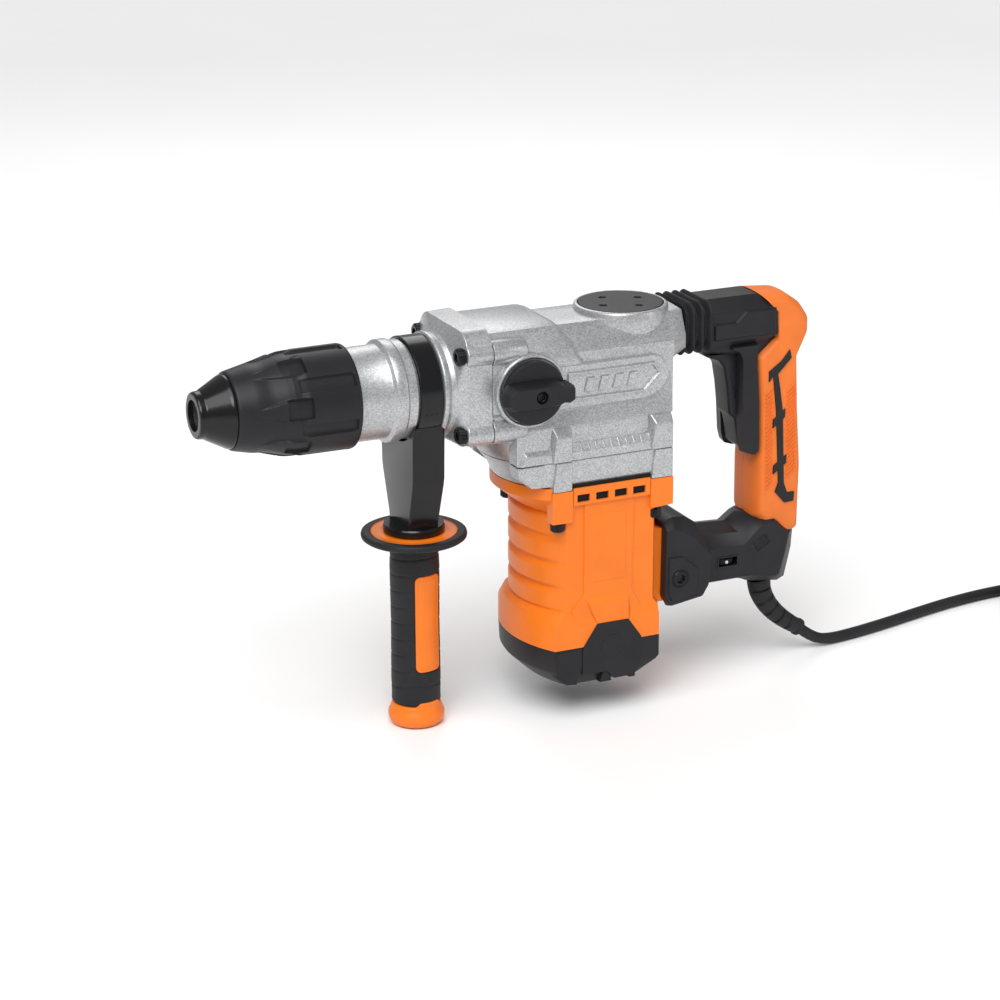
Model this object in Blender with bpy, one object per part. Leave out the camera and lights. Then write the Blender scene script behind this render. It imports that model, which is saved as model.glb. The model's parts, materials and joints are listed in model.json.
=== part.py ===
"""Rotary hammer with a tool holder for 18 mm shanks, a side handle and a sprung D-handle.

Lengths below are millimetres in the hammer's own frame: X runs along the hammer axis
with the nose towards -X and the crank axis at X = 0, Y = 0 is the plane of symmetry and
Z = 0 is the hammer axis. The empty "hammer_frame" carries that frame, so that the world
origin lies on the flat foot under the motor. Meshes are stored in metres.
"""

import math

import bmesh
import bpy
import numpy as np
from mathutils import Vector

MM = 0.001
GAP = 0.3                    # clearance left between pieces that touch
ROUND = 16                   # sides of an ordinary round piece
FINE = 24                    # sides of a large round piece
SHARP_ANGLE = math.radians(35)

# Layout of the machine
AXIS_HEIGHT = 215.0          # hammer axis above the motor foot
MOTOR_X = -36.0              # vertical motor axis
NOSE_X = -305.4              # front face of the dust cap
SHANK_RADIUS = 9.2           # bore for the shank of the tool bit
FLANGE_X = -113.0            # joint between front housing and gear housing
FLOOR_Z = -238.0             # end of the side handle, lowest point of the machine

# Gears
MODULE = 2.0
MOTOR_TEETH = 7
CRANK_TEETH = 29
SHAFT_TEETH = 19
BEVEL_PINION_TEETH = 6
BEVEL_GEAR_TEETH = 18
BEVEL_PINION_RADIUS = 9.0
BEVEL_FACE = 6.0             # width of the bevel teeth along their cone
ADDENDUM = 1.7
DEDENDUM = 2.2
ROOT_HALF = 0.23             # half thickness of a tooth at its root, in pitches
TIP_HALF = 0.09              # the same at its tip
GEAR_BOTTOM = -52.0
GEAR_TOP = -42.0
SHAFT_X = MOTOR_X - MODULE * (MOTOR_TEETH + SHAFT_TEETH) / 2

# Impact train
TUBE_BORE = 14.6
TUBE_RADIUS = 18.0
CRANK_RADIUS = 12.0
CRANK_PIN_X = -CRANK_RADIUS
WRIST_X = -62.0

# Casing
WALL = 3.5
BASE_TOP = -52.3
BASE_BOTTOM = -70.0
MOTOR_BOTTOM = -186.0
FOOT_Z = -AXIS_HEIGHT
SIDE_Y = 45.5                # flat side of the motor housing
STATOR_RADIUS = 36.0
FRONT_BOLTS = [(y, z) for y in (-34.5, 34.5) for z in (-26.6, 26.6)]
MOTOR_BOLTS = [(x, y) for x in (-66.0, 6.6) for y in (-40.0, 40.0)]

# Controls and handles
KNOB_X = -87.0
BAND_X = -153.5              # axis of the side handle
BAND_WIDTH = 15.7
GUARD_Z = -99.7              # upper face of the hand guard
GRIP_BOTTOM = -222.0
PIVOT = (25.0, -148.0)       # pivot bolt of the rear handle
TRIGGER_PIVOT = (80.0, -9.0)
HANDLE_HALF = 19.0
DIAL = (75.0, -11.5, -152.0)

# Power cord
CORD_RADIUS = 4.0
COIL_CENTRE = (384.0, -20.0)
COIL_RADIUS = 44.0           # middle of the turns
COIL_LAYERS = 3
CORD_ROUTE = [
    (147.3, 0.0, -220.2), (155.0, 0.0, -226.4), (165.5, 0.6, -231.9), (179.0, 2.0, -233.9),
    (200.0, 5.0, -234.0), (228.0, 11.0, -234.0), (258.0, 18.5, -234.0), (288.0, 25.5, -234.0),
    (316.0, 30.0, -234.0), (336.0, 31.7, -234.0), (350.0, 32.0, -234.0),
]

MATERIALS = {
    # name: (base colour, metallic, roughness)
    "die_cast": ((0.56, 0.57, 0.58), 0.85, 0.45),
    "orange_plastic": ((0.93, 0.27, 0.03), 0.0, 0.42),
    "orange_rubber": ((0.80, 0.20, 0.04), 0.0, 0.62),
    "black_plastic": ((0.030, 0.028, 0.032), 0.0, 0.50),
    "black_rubber": ((0.022, 0.022, 0.024), 0.0, 0.70),
    "black_steel": ((0.012, 0.012, 0.013), 0.6, 0.25),
    "steel": ((0.55, 0.55, 0.56), 1.0, 0.30),
    "bearing_steel": ((0.62, 0.62, 0.64), 1.0, 0.22),
    "spring_steel": ((0.35, 0.36, 0.38), 1.0, 0.35),
    "laminated_steel": ((0.28, 0.28, 0.30), 0.9, 0.5),
    "copper": ((0.75, 0.36, 0.20), 1.0, 0.35),
    "carbon": ((0.03, 0.03, 0.03), 0.2, 0.6),
}


# ---------------------------------------------------------------- scene and materials

def clear_scene():
    for old in list(bpy.data.objects):
        bpy.data.objects.remove(old, do_unlink=True)


def make_material(name):
    material = bpy.data.materials.get(name)
    if material:
        return material
    colour, metallic, roughness = MATERIALS[name]
    material = bpy.data.materials.new(name)
    material.use_nodes = True
    shader = material.node_tree.nodes["Principled BSDF"]
    shader.inputs["Base Color"].default_value = (*colour, 1.0)
    shader.inputs["Metallic"].default_value = metallic
    shader.inputs["Roughness"].default_value = roughness
    return material


def make_frame():
    frame = bpy.data.objects.new("hammer_frame", None)
    frame.empty_display_size = 0.05
    frame.location = (-MOTOR_X * MM, 0.0, AXIS_HEIGHT * MM)
    bpy.context.scene.collection.objects.link(frame)
    return frame


# ------------------------------------------------------------------- rings and skins

def circle(radius, count=ROUND, centre=(0.0, 0.0)):
    """Points evenly round a circle, starting half a step off the first axis."""
    angles = (np.arange(count) + 0.5) * 2 * math.pi / count
    return np.column_stack([centre[0] + radius * np.cos(angles),
                            centre[1] + radius * np.sin(angles)])


def rounded(half_u, half_v, corner, count=ROUND, centre=(0.0, 0.0)):
    """A rectangle with round corners; each corner arc holds a quarter of the points."""
    angles = (np.arange(count) + 0.5) * 2 * math.pi / count
    side_u = np.sign(np.cos(angles)) * (half_u - corner)
    side_v = np.sign(np.sin(angles)) * (half_v - corner)
    return np.column_stack([centre[0] + side_u + corner * np.cos(angles),
                            centre[1] + side_v + corner * np.sin(angles)])


def tooth_angles(teeth, phase):
    offsets = np.array([-ROOT_HALF, -TIP_HALF, TIP_HALF, ROOT_HALF])
    return (phase + (np.arange(teeth)[:, None] + offsets) * 2 * math.pi / teeth).ravel()


def tooth_outline(teeth, root, tip, phase=0.0, centre=(0.0, 0.0)):
    """Outline of a spur gear with straight-sided teeth, one centred on the phase angle."""
    angles = tooth_angles(teeth, phase)
    radii = np.tile([root, tip, tip, root], teeth)
    return np.column_stack([centre[0] + radii * np.cos(angles),
                            centre[1] + radii * np.sin(angles)])


def place_ring(points, axis, station):
    """Put a flat ring across the given axis at a station along it."""
    points = np.asarray(points, float)
    column = np.full(len(points), float(station))
    if axis == "X":
        return np.column_stack([column, points[:, 0], points[:, 1]])
    if axis == "Y":
        return np.column_stack([points[:, 0], column, points[:, 1]])
    return np.column_stack([points[:, 0], points[:, 1], column])


def inset(outline, distance):
    """Move every side of a closed outline inwards by the distance (mitred corners)."""
    points = [Vector(p) for p in outline]
    count = len(points)
    area = sum(points[i].x * points[(i + 1) % count].y - points[(i + 1) % count].x * points[i].y
               for i in range(count))
    turn = 1.0 if area > 0 else -1.0
    moved = []
    for i in range(count):
        before = (points[i] - points[i - 1]).normalized()
        after = (points[(i + 1) % count] - points[i]).normalized()
        normal_before = Vector((-before.y, before.x)) * turn
        normal_after = Vector((-after.y, after.x)) * turn
        mitre = normal_before + normal_after
        moved.append(tuple(points[i] + mitre * (distance / (1.0 + normal_before.dot(normal_after)))))
    return moved


def skin(rings, loop=False):
    """Faces between consecutive rings; a loop closes on itself, otherwise both ends are capped."""
    count = len(rings[0])
    vertices = np.vstack(rings)
    faces = []
    spans = len(rings) if loop else len(rings) - 1
    for i in range(spans):
        first = i * count
        second = ((i + 1) % len(rings)) * count
        for j in range(count):
            k = (j + 1) % count
            faces.append((first + j, first + k, second + k, second + j))
    if not loop:
        faces.append(tuple(range(count)))
        faces.append(tuple(range(len(vertices) - count, len(vertices))))
    return vertices, faces


def make_part(name, rings, material, loop=False, origin=(0.0, 0.0, 0.0), triangles=False):
    """A closed mesh through the rings, with the object's origin at the given place."""
    vertices, faces = skin(rings, loop)
    mesh = bpy.data.meshes.new(name)
    mesh.from_pydata(((vertices - np.array(origin)) * MM).tolist(), [], faces)
    shape = bmesh.new()
    shape.from_mesh(mesh)
    if triangles:
        bmesh.ops.triangulate(shape, faces=shape.faces)
    bmesh.ops.recalc_face_normals(shape, faces=shape.faces)
    shape.to_mesh(mesh)
    shape.free()
    mesh.shade_smooth()
    mesh.set_sharp_from_angle(angle=SHARP_ANGLE)
    part = bpy.data.objects.new(name, mesh)
    part.parent = FRAME
    part.location = Vector(origin) * MM
    bpy.context.scene.collection.objects.link(part)
    if material:
        mesh.materials.append(make_material(material))
    return part


def turned(name, profile, material, axis="X", centre=(0.0, 0.0), count=ROUND, hollow=True,
           origin=(0.0, 0.0, 0.0)):
    """Turn a profile of (station, radius) points; a hollow profile is a closed outline."""
    rings = [place_ring(circle(radius, count, centre), axis, station) for station, radius in profile]
    return make_part(name, rings, material, loop=hollow, origin=origin)


def plate(name, outline, axis, low, high, material, origin=(0.0, 0.0, 0.0)):
    rings = [place_ring(outline, axis, low), place_ring(outline, axis, high)]
    return make_part(name, rings, material, origin=origin)


def box_outline(low, high):
    return [(low[0], low[1]), (high[0], low[1]), (high[0], high[1]), (low[0], high[1])]


def box(name, low, high, material=None):
    return plate(name, box_outline(low[:2], high[:2]), "Z", low[2], high[2], material)


def as_tool(part):
    part.hide_render = True
    part.display_type = "WIRE"
    return part


def combine(part, tool, operation):
    as_tool(tool)
    change = part.modifiers.new(tool.name, "BOOLEAN")
    change.operation = operation
    change.solver = "EXACT"
    change.object = tool


def cut(part, *tools):
    for tool in tools:
        combine(part, tool, "DIFFERENCE")


def add(part, *tools):
    for tool in tools:
        combine(part, tool, "UNION")


# --------------------------------------------------------------------- plan outlines

ARC_POINTS = 7


def plan(front, corner, half, rear_corner, rear_side, rear_end, wall=0.0):
    """Plan of a casing: an arc across the front, flat sides, and a blunt rear end.

    front and rear_end are where the plan crosses Y = 0; the arc ends at (corner, half);
    rear_side is the point between the rear corner and the rear end.
    """
    front += wall
    half -= wall
    corner += wall * 0.5
    rear_corner -= wall * 0.7
    rear_side = (rear_side[0] - wall * 0.5, rear_side[1] - wall * 0.2)
    rear_end -= wall * 0.5
    sagitta = corner - front
    radius = (half * half + sagitta * sagitta) / (2 * sagitta)
    reach = math.asin(min(1.0, half / radius))
    angles = np.linspace(-reach, reach, ARC_POINTS)
    points = [(front + radius * (1 - math.cos(a)), radius * math.sin(a)) for a in angles]
    points += [(rear_corner, half), rear_side, (rear_end, 0.0),
               (rear_side[0], -rear_side[1]), (rear_corner, -half)]
    return points


BLOCK_REAR = (29.0, 17.5)
NECK_REAR = (36.0, 27.0)
GEAR_CASE_LEVELS = [
    # height: front, arc corner, half width, rear corner, rear side, rear end
    (39.5, (FLANGE_X, FLANGE_X + 0.3, 22.0, 20.0, (35.0, 17.0), 36.0)),
    (33.0, (FLANGE_X, FLANGE_X + 0.3, 32.0, 22.0, (36.0, 24.0), 36.3)),
    (24.0, (FLANGE_X, FLANGE_X + 0.3, 37.5, 22.0, NECK_REAR, 36.3)),
    (9.0, (FLANGE_X, FLANGE_X + 0.3, 38.0, 22.0, NECK_REAR, 36.3)),
    (6.0, (FLANGE_X, FLANGE_X + 0.3, 38.0, 20.0, BLOCK_REAR, 36.5)),
    (-17.0, (FLANGE_X, FLANGE_X + 0.3, 38.0, 20.0, BLOCK_REAR, 36.5)),
    (-32.0, (FLANGE_X, FLANGE_X + 0.3, 35.0, 17.0, BLOCK_REAR, 36.5)),
    (-37.0, (FLANGE_X, -76.0, 44.0, 17.0, BLOCK_REAR, 36.5)),
    (-45.3, (-107.5, -73.0, SIDE_Y, 17.0, BLOCK_REAR, 36.5)),
    (-52.0, (-103.5, -72.5, SIDE_Y, 17.0, BLOCK_REAR, 36.5)),
]
BASE_LEVELS = [
    (BASE_TOP, (-103.5, -72.5, SIDE_Y, 17.0, BLOCK_REAR, 36.0)),
    (-62.6, (-95.1, -72.0, SIDE_Y, 17.0, (27.0, 20.0), 30.0)),
    (BASE_BOTTOM, (-93.0, -72.0, SIDE_Y, 17.0, (20.0, 30.0), 22.0)),
]
MOTOR_REAR = (12.0, 38.0)
MOTOR_LEVELS = [
    (BASE_BOTTOM - GAP, (-94.7, -72.0, SIDE_Y, 17.0, (20.0, 30.0), 22.0)),
    (-77.0, (-94.7, -72.0, SIDE_Y, 17.0, (20.0, 30.0), 22.0)),
    (-92.0, (-84.0, -68.0, 43.0, 9.0, MOTOR_REAR, 12.3)),
    (-158.0, (-82.0, -62.0, 43.0, 9.0, MOTOR_REAR, 12.3)),
    (-168.0, (-85.5, -70.0, SIDE_Y, 9.0, MOTOR_REAR, 12.3)),
    (MOTOR_BOTTOM, (-85.5, -70.0, SIDE_Y, 9.0, MOTOR_REAR, 12.3)),
]
END_CAP_LEVELS = [
    (MOTOR_BOTTOM - GAP, (-85.5, -70.0, SIDE_Y, 9.0, MOTOR_REAR, 12.3)),
    (-200.0, (-84.0, -69.0, SIDE_Y, 8.5, (11.0, 38.0), 11.5)),
    (-209.0, (-75.0, -64.0, 43.0, 2.0, (4.0, 34.0), 4.5)),
    (FOOT_Z, (-66.0, -58.0, 35.0, -8.0, (-6.0, 28.0), -5.5)),
]


def stacked(name, levels, material, wall=0.0, origin=(0.0, 0.0, 0.0)):
    rings = [place_ring(plan(*shape, wall=wall), "Z", height) for height, shape in levels]
    return make_part(name, rings, material, origin=origin, triangles=True)


# ----------------------------------------------------------------- nose and tool holder

def make_dust_cap():
    profile = [(NOSE_X, 9.6), (NOSE_X, 14.2), (NOSE_X + 1.5, 15.6), (-300.5, 15.6), (-298.5, 17.0),
               (-284.5, 24.6), (-283.3, 24.6), (-283.3, 13.3), (-302.3, 13.3), (-302.6, 9.6)]
    turned("dust_cap", profile, "black_rubber")


def make_chuck_sleeve():
    outer = [(-283.0, 25.5), (-262.0, 30.2), (-245.0, 34.7), (-201.6, 34.7)]
    inner = [(-201.6, 32.2), (-222.0, 32.2), (-222.0, 25.0), (-241.0, 25.0), (-241.0, 16.6),
             (-283.0, 16.6)]
    turned("chuck_sleeve", outer + inner, "black_plastic", count=FINE)


def make_sleeve_spring():
    """A helix of round wire between the sleeve's shoulder and the holder's flange."""
    wire, radius, turns, steps, sides = 1.2, 20.6, 4.0, 11, 5
    start, end = -239.6, -214.6
    rings = []
    for k in range(int(turns * steps) + 1):
        share = k / (turns * steps)
        angle = 2 * math.pi * turns * share
        ring = []
        for s in range(sides):
            across = 2 * math.pi * s / sides
            r = radius + wire * math.cos(across)
            ring.append((start + (end - start) * share + wire * math.sin(across),
                         r * math.cos(angle), r * math.sin(angle)))
        rings.append(np.array(ring))
    make_part("sleeve_spring", rings, "spring_steel")


def make_tool_holder():
    outer = [(-302.0, 13.0), (-283.0, 13.0), (-283.0, 16.0), (-213.0, 16.0), (-213.0, 24.0),
             (-210.0, 24.0), (-210.0, TUBE_RADIUS), (-150.0, TUBE_RADIUS)]
    inner = [(-150.0, 12.3), (-205.0, 12.3), (-205.0, SHANK_RADIUS), (-302.0, SHANK_RADIUS)]
    holder = turned("tool_holder", outer + inner, "steel")
    slot = box("roller_slot", (-263.0, -2.8, -18.0), (-245.0, 2.8, 18.0))
    cut(holder, slot)
    for name, side in (("locking_roller_upper", 1), ("locking_roller_lower", -1)):
        turned(name, [(-261.0, 2.5), (-247.0, 2.5)], "bearing_steel", centre=(0.0, side * 10.6),
               count=10, hollow=False)


def make_impact_train():
    turned("hammer_tube", [(-149.7, TUBE_RADIUS), (-34.0, TUBE_RADIUS), (-34.0, TUBE_BORE),
                           (-149.7, TUBE_BORE)], "steel")
    turned("impact_bolt", [(-200.0, 6.5), (-190.0, 7.0), (-190.0, 11.8), (-166.0, 11.8),
                           (-166.0, 8.5), (-153.0, 8.5)], "bearing_steel", hollow=False, count=16,
           origin=(-175.0, 0.0, 0.0))
    turned("striker", [(-134.0, 6.0), (-128.0, 7.5), (-128.0, 14.1), (-98.0, 14.1)],
           "bearing_steel", hollow=False, count=16, origin=(-115.0, 0.0, 0.0))
    turned("piston", [(-80.0, 14.1), (-52.0, 14.1), (-52.0, 9.8), (-71.0, 9.6), (-71.0, 0.6),
                      (-80.0, 0.6)], "steel", count=16)
    rod_length = CRANK_PIN_X - WRIST_X
    angles = np.linspace(-math.pi / 2, math.pi / 2, 7)
    big_end = [(CRANK_PIN_X + 9.0 * math.cos(a), 9.0 * math.sin(a)) for a in angles]
    small_end = [(CRANK_PIN_X - rod_length - 6.0 * math.cos(a), -6.0 * math.sin(a)) for a in angles]
    rod = plate("connecting_rod", big_end + small_end, "Z", -5.0, 5.0, "steel")
    cut(rod, turned("rod_eye", [(-8.0, 5.3), (8.0, 5.3)], None, axis="Z",
                    centre=(CRANK_PIN_X, 0.0), hollow=False, count=16))


# ------------------------------------------------------------------------------ gears

def spur_gear(name, teeth, centre_x, bore, phase):
    pitch_radius = MODULE * teeth / 2
    centre = (centre_x, 0.0)
    outline = tooth_outline(teeth, pitch_radius - DEDENDUM, pitch_radius + ADDENDUM, phase, centre)
    angles = tooth_angles(teeth, phase)
    hole = np.column_stack([centre_x + bore * np.cos(angles), bore * np.sin(angles)])
    rings = [place_ring(outline, "Z", GEAR_BOTTOM), place_ring(outline, "Z", GEAR_TOP),
             place_ring(hole, "Z", GEAR_TOP), place_ring(hole, "Z", GEAR_BOTTOM)]
    return make_part(name, rings, "steel", loop=True, origin=(centre_x, 0.0, GEAR_BOTTOM))


def bevel_ring(teeth, slope, distance, full_distance, phase, along, across):
    """One end of the teeth of a bevel gear, whose cone has its tip where the shafts cross.

    A point lies at the distance along the pitch cone and is lifted off it by the tooth
    height, which shrinks in step with the distance to the tip of the cone.
    """
    angles = tooth_angles(teeth, phase)
    heights = np.tile([-DEDENDUM, ADDENDUM, ADDENDUM, -DEDENDUM], teeth) * distance / full_distance
    axial = distance * math.cos(slope) - heights * math.sin(slope)
    radial = distance * math.sin(slope) + heights * math.cos(slope)
    tip = np.array([SHAFT_X, 0.0, 0.0])
    return (tip + axial[:, None] * np.array(along)
            + (radial * np.cos(angles))[:, None] * np.array(across[0])
            + (radial * np.sin(angles))[:, None] * np.array(across[1]))


def make_gears():
    crank_phase = math.pi + math.pi / CRANK_TEETH
    spur_gear("crank_gear", CRANK_TEETH, 0.0, 7.4, crank_phase)
    wheel = spur_gear("shaft_gear", SHAFT_TEETH, SHAFT_X, 5.0, 0.0)

    ratio = BEVEL_GEAR_TEETH / BEVEL_PINION_TEETH
    gear_radius = BEVEL_PINION_RADIUS * ratio
    full = math.hypot(gear_radius, BEVEL_PINION_RADIUS)
    pinion_slope = math.atan2(BEVEL_PINION_RADIUS, gear_radius)
    gear_slope = math.pi / 2 - pinion_slope
    down, back = (0.0, 0.0, -1.0), (-1.0, 0.0, 0.0)
    flat = [(1.0, 0.0, 0.0), (0.0, 1.0, 0.0)]
    upright = [(0.0, 1.0, 0.0), (0.0, 0.0, 1.0)]

    pinion_phase = math.pi + math.pi / BEVEL_PINION_TEETH
    angles = tooth_angles(BEVEL_PINION_TEETH, pinion_phase)
    unit = np.column_stack([np.cos(angles), np.sin(angles)])
    shaft = [(-58.5, 6.0), (-35.0, 6.0), (-34.4, 6.6), (-29.5, 6.6)]
    rings = [place_ring(unit * radius + (SHAFT_X, 0.0), "Z", z) for z, radius in shaft]
    for distance in (full, full - BEVEL_FACE):
        rings.append(bevel_ring(BEVEL_PINION_TEETH, pinion_slope, distance, full, pinion_phase,
                                down, flat))
    rings.append(place_ring(unit * 3.0 + (SHAFT_X, 0.0), "Z", -21.0))
    add(make_part("bevel_pinion_shaft", rings, "steel", origin=(SHAFT_X, 0.0, 0.0)), wheel)

    gear_phase = -math.pi / 2
    angles = tooth_angles(BEVEL_GEAR_TEETH, gear_phase)
    unit = np.column_stack([np.cos(angles), np.sin(angles)])
    rings = [bevel_ring(BEVEL_GEAR_TEETH, gear_slope, distance, full, gear_phase, back, upright)
             for distance in (full - BEVEL_FACE, full)]
    hub = [(-80.0, gear_radius - 1.5), (-80.0, TUBE_RADIUS + GAP), (-72.0, TUBE_RADIUS + GAP)]
    rings += [place_ring(unit * radius, "X", x) for x, radius in hub]
    make_part("bevel_gear", rings, "steel", loop=True)


def make_crankshaft():
    stations = [(-58.5, 7.0, 0.0), (-20.0, 7.0, 0.0), (-20.0, 19.5, 0.0), (-12.0, 19.5, 0.0),
                (-12.0, 5.0, CRANK_PIN_X), (8.5, 5.0, CRANK_PIN_X)]
    rings = [place_ring(circle(radius, ROUND, (x, 0.0)), "Z", z) for z, radius, x in stations]
    make_part("crankshaft", rings, "steel")


# ------------------------------------------------------------------- metal housings

def bolt_tool(name, y, z):
    """Counterbore and clearance hole of a front bolt."""
    profile = [(-150.0, 7.2), (-131.0, 7.2), (-131.0, 3.4), (-95.0, 3.4)]
    return turned(name, profile, None, centre=(y, z), count=12, hollow=False)


def make_front_housing():
    stations = [(-209.0, 31.0), (-177.0, 31.0), (-176.5, 34.2), (-168.5, 34.2), (-168.0, 33.0),
                (-162.2, 33.0), (-162.0, 31.8), (-145.0, 31.8), (-144.8, 33.5), (-141.0, 34.0)]
    rings = [place_ring(circle(radius, FINE), "X", x) for x, radius in stations]
    for x, size in ((-131.0, 40.0), (FLANGE_X - GAP, 40.0)):
        rings.append(place_ring(rounded(size, size, 14.0, FINE, (0.0, 2.5)), "X", x))
    bore = [(FLANGE_X - GAP, 30.0), (-125.0, 30.0), (-127.0, 23.0), (-183.0, 23.0), (-183.0, 29.0),
            (-209.0, 29.0)]
    rings += [place_ring(circle(radius, FINE), "X", x) for x, radius in bore]
    housing = make_part("front_housing", rings, "die_cast", loop=True)
    cut(housing, *[bolt_tool(f"front_hole_{i}", y, z) for i, (y, z) in enumerate(FRONT_BOLTS)])
    for i, (y, z) in enumerate(FRONT_BOLTS, 1):
        turned(f"front_bolt_{i}", [(-137.0, 4.8), (-136.0, 5.8), (-131.3, 5.8), (-131.3, 3.0),
                                   (-97.0, 3.0)], "black_steel", centre=(y, z), count=12,
               hollow=False)
    turned("front_seal", [(-207.0, 18.5), (-207.0, 28.6), (-200.0, 28.6), (-200.0, 18.5)],
           "black_rubber")
    turned("spindle_bearing", [(-198.5, 18.4), (-198.5, 28.6), (-184.0, 28.6), (-184.0, 18.4)],
           "bearing_steel")


def make_gear_housing():
    housing = stacked("gear_housing", GEAR_CASE_LEVELS, "die_cast")
    cavity_levels = [(36.0, GEAR_CASE_LEVELS[1][1])] + [
        (height if height > -50 else height - 3.0, shape) for height, shape in GEAR_CASE_LEVELS[1:]]
    collar = turned("cover_collar", [(20.0, 31.5), (39.9, 31.5)], None, axis="Z", count=FINE,
                    hollow=False)
    knob_boss = turned("knob_boss", [(-30.0, 25.0), (-44.0, 25.0)], None, axis="Y",
                       centre=(KNOB_X, 0.0), hollow=False)
    add(housing, collar, knob_boss)
    cut(housing, stacked("gear_cavity", cavity_levels, None, wall=WALL))
    bosses = [turned(f"bolt_boss_{i}", [(-111.6, 7.4), (-86.0, 7.4)], None, centre=(y, z),
                     count=12, hollow=False) for i, (y, z) in enumerate(FRONT_BOLTS)]
    add(housing, *bosses)
    cut(housing,
        turned("front_opening", [(-120.0, 30.0), (-104.0, 30.0)], None, count=ROUND, hollow=False),
        turned("cover_opening", [(30.0, 26.0), (36.9, 26.0), (36.9, 29.4), (45.0, 29.4)], None,
               axis="Z", count=FINE, hollow=False),
        turned("knob_hole", [(-25.0, 8.5), (-50.0, 8.5)], None, axis="Y", centre=(KNOB_X, 0.0),
               hollow=False, count=16))
    cut(housing, *[turned(f"case_hole_{i}", [(-115.0, 3.4), (-96.0, 3.4)], None, centre=(y, z),
                          count=10, hollow=False) for i, (y, z) in enumerate(FRONT_BOLTS)])
    turned("top_cover", [(31.0, 25.6), (37.2, 25.6), (37.2, 29.0), (40.4, 29.0)], "black_plastic",
           axis="Z", count=FINE, hollow=False)


def make_bearing_plate():
    outline = plan(-98.0, -78.0, 37.0, 12.0, (24.0, 15.0), 29.0)
    part = plate("bearing_plate", outline, "Z", -40.8, -36.8, "die_cast")
    cut(part, *[turned(f"plate_bush_{i}", [(-45.0, radius), (-30.0, radius)], None, axis="Z",
                       centre=(x, 0.0), hollow=False)
                for i, (x, radius) in enumerate(((0.0, 7.4), (SHAFT_X, 6.4)))])


def make_gear_housing_base():
    base = stacked("gear_housing_base", BASE_LEVELS, "die_cast")
    tools = [turned("motor_spigot", [(-75.0, 34.0), (-62.0, 34.0), (-62.0, 13.0), (-55.0, 13.0),
                                     (-55.0, 9.3), (-45.0, 9.3)], None, axis="Z",
                    centre=(MOTOR_X, 0.0), hollow=False)]
    for i, (x, radius) in enumerate(((0.0, 7.4), (SHAFT_X, 6.4))):
        tools.append(turned(f"foot_bush_{i}", [(-59.0, radius), (-45.0, radius)], None, axis="Z",
                            centre=(x, 0.0), hollow=False))
    for i, (x, y) in enumerate(MOTOR_BOLTS):
        tools.append(turned(f"base_hole_{i}", [(-75.0, 2.9), (-55.0, 2.9)], None, axis="Z",
                            centre=(x, y), hollow=False, count=10))
    cut(base, *tools)


# ------------------------------------------------------------------------------ motor

def make_motor_housing():
    housing = stacked("motor_housing", MOTOR_LEVELS, "orange_plastic")
    top = BASE_BOTTOM - GAP
    bosses = []
    for i, (x, y) in enumerate(MOTOR_BOLTS):
        side = math.copysign(1.0, y)
        low = (x - 7.5, min(side * 33.0, side * 46.3), -95.0)
        high = (x + 7.5, max(side * 33.0, side * 46.3), top)
        bosses.append(box(f"motor_boss_{i}", low, high))
    bosses.append(box("pivot_lug", (8.0, -36.0, -166.0), (38.5, 36.0, -114.0)))
    add(housing, *bosses)
    tools = [turned("motor_bore", [(-190.0, STATOR_RADIUS), (-60.0, STATOR_RADIUS)], None, axis="Z",
                    centre=(MOTOR_X, 0.0), hollow=False),
             turned("pivot_hole", [(-60.0, 4.4), (60.0, 4.4)], None, axis="Y", centre=PIVOT,
                    hollow=False, count=16)]
    for i, x in enumerate((-50.0, -37.0, -24.0, -11.0)):
        tools.append(box(f"vent_{i}", (x - 4.0, -60.0, -82.5), (x + 4.0, 60.0, -78.0)))
    for i, (x, y) in enumerate(MOTOR_BOLTS):
        tools.append(turned(f"motor_hole_{i}", [(-100.0, 2.9), (-65.0, 2.9)], None, axis="Z",
                            centre=(x, y), hollow=False, count=10))
        side = math.copysign(1.0, y)
        tools.append(box(f"head_pocket_{i}", (x - 6.2, min(side * 34.4, side * 52.0), -108.0),
                         (x + 6.2, max(side * 34.4, side * 52.0), -95.0)))
    cut(housing, *tools)
    for i, (x, y) in enumerate(MOTOR_BOLTS, 1):
        turned(f"motor_bolt_{i}", [(-101.5, 4.0), (-100.5, 5.0), (-95.3, 5.0), (-95.3, 2.5),
                                   (-56.0, 2.5)], "black_steel", axis="Z", centre=(x, y), count=10,
               hollow=False)


def make_end_cap():
    cap = stacked("motor_end_cap", END_CAP_LEVELS, "black_plastic")
    cut(cap, turned("cap_bore", [(-180.0, 34.0), (-194.0, 34.0), (-194.0, 11.4), (-205.2, 11.4)],
                    None, axis="Z", centre=(MOTOR_X, 0.0), hollow=False))


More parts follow.
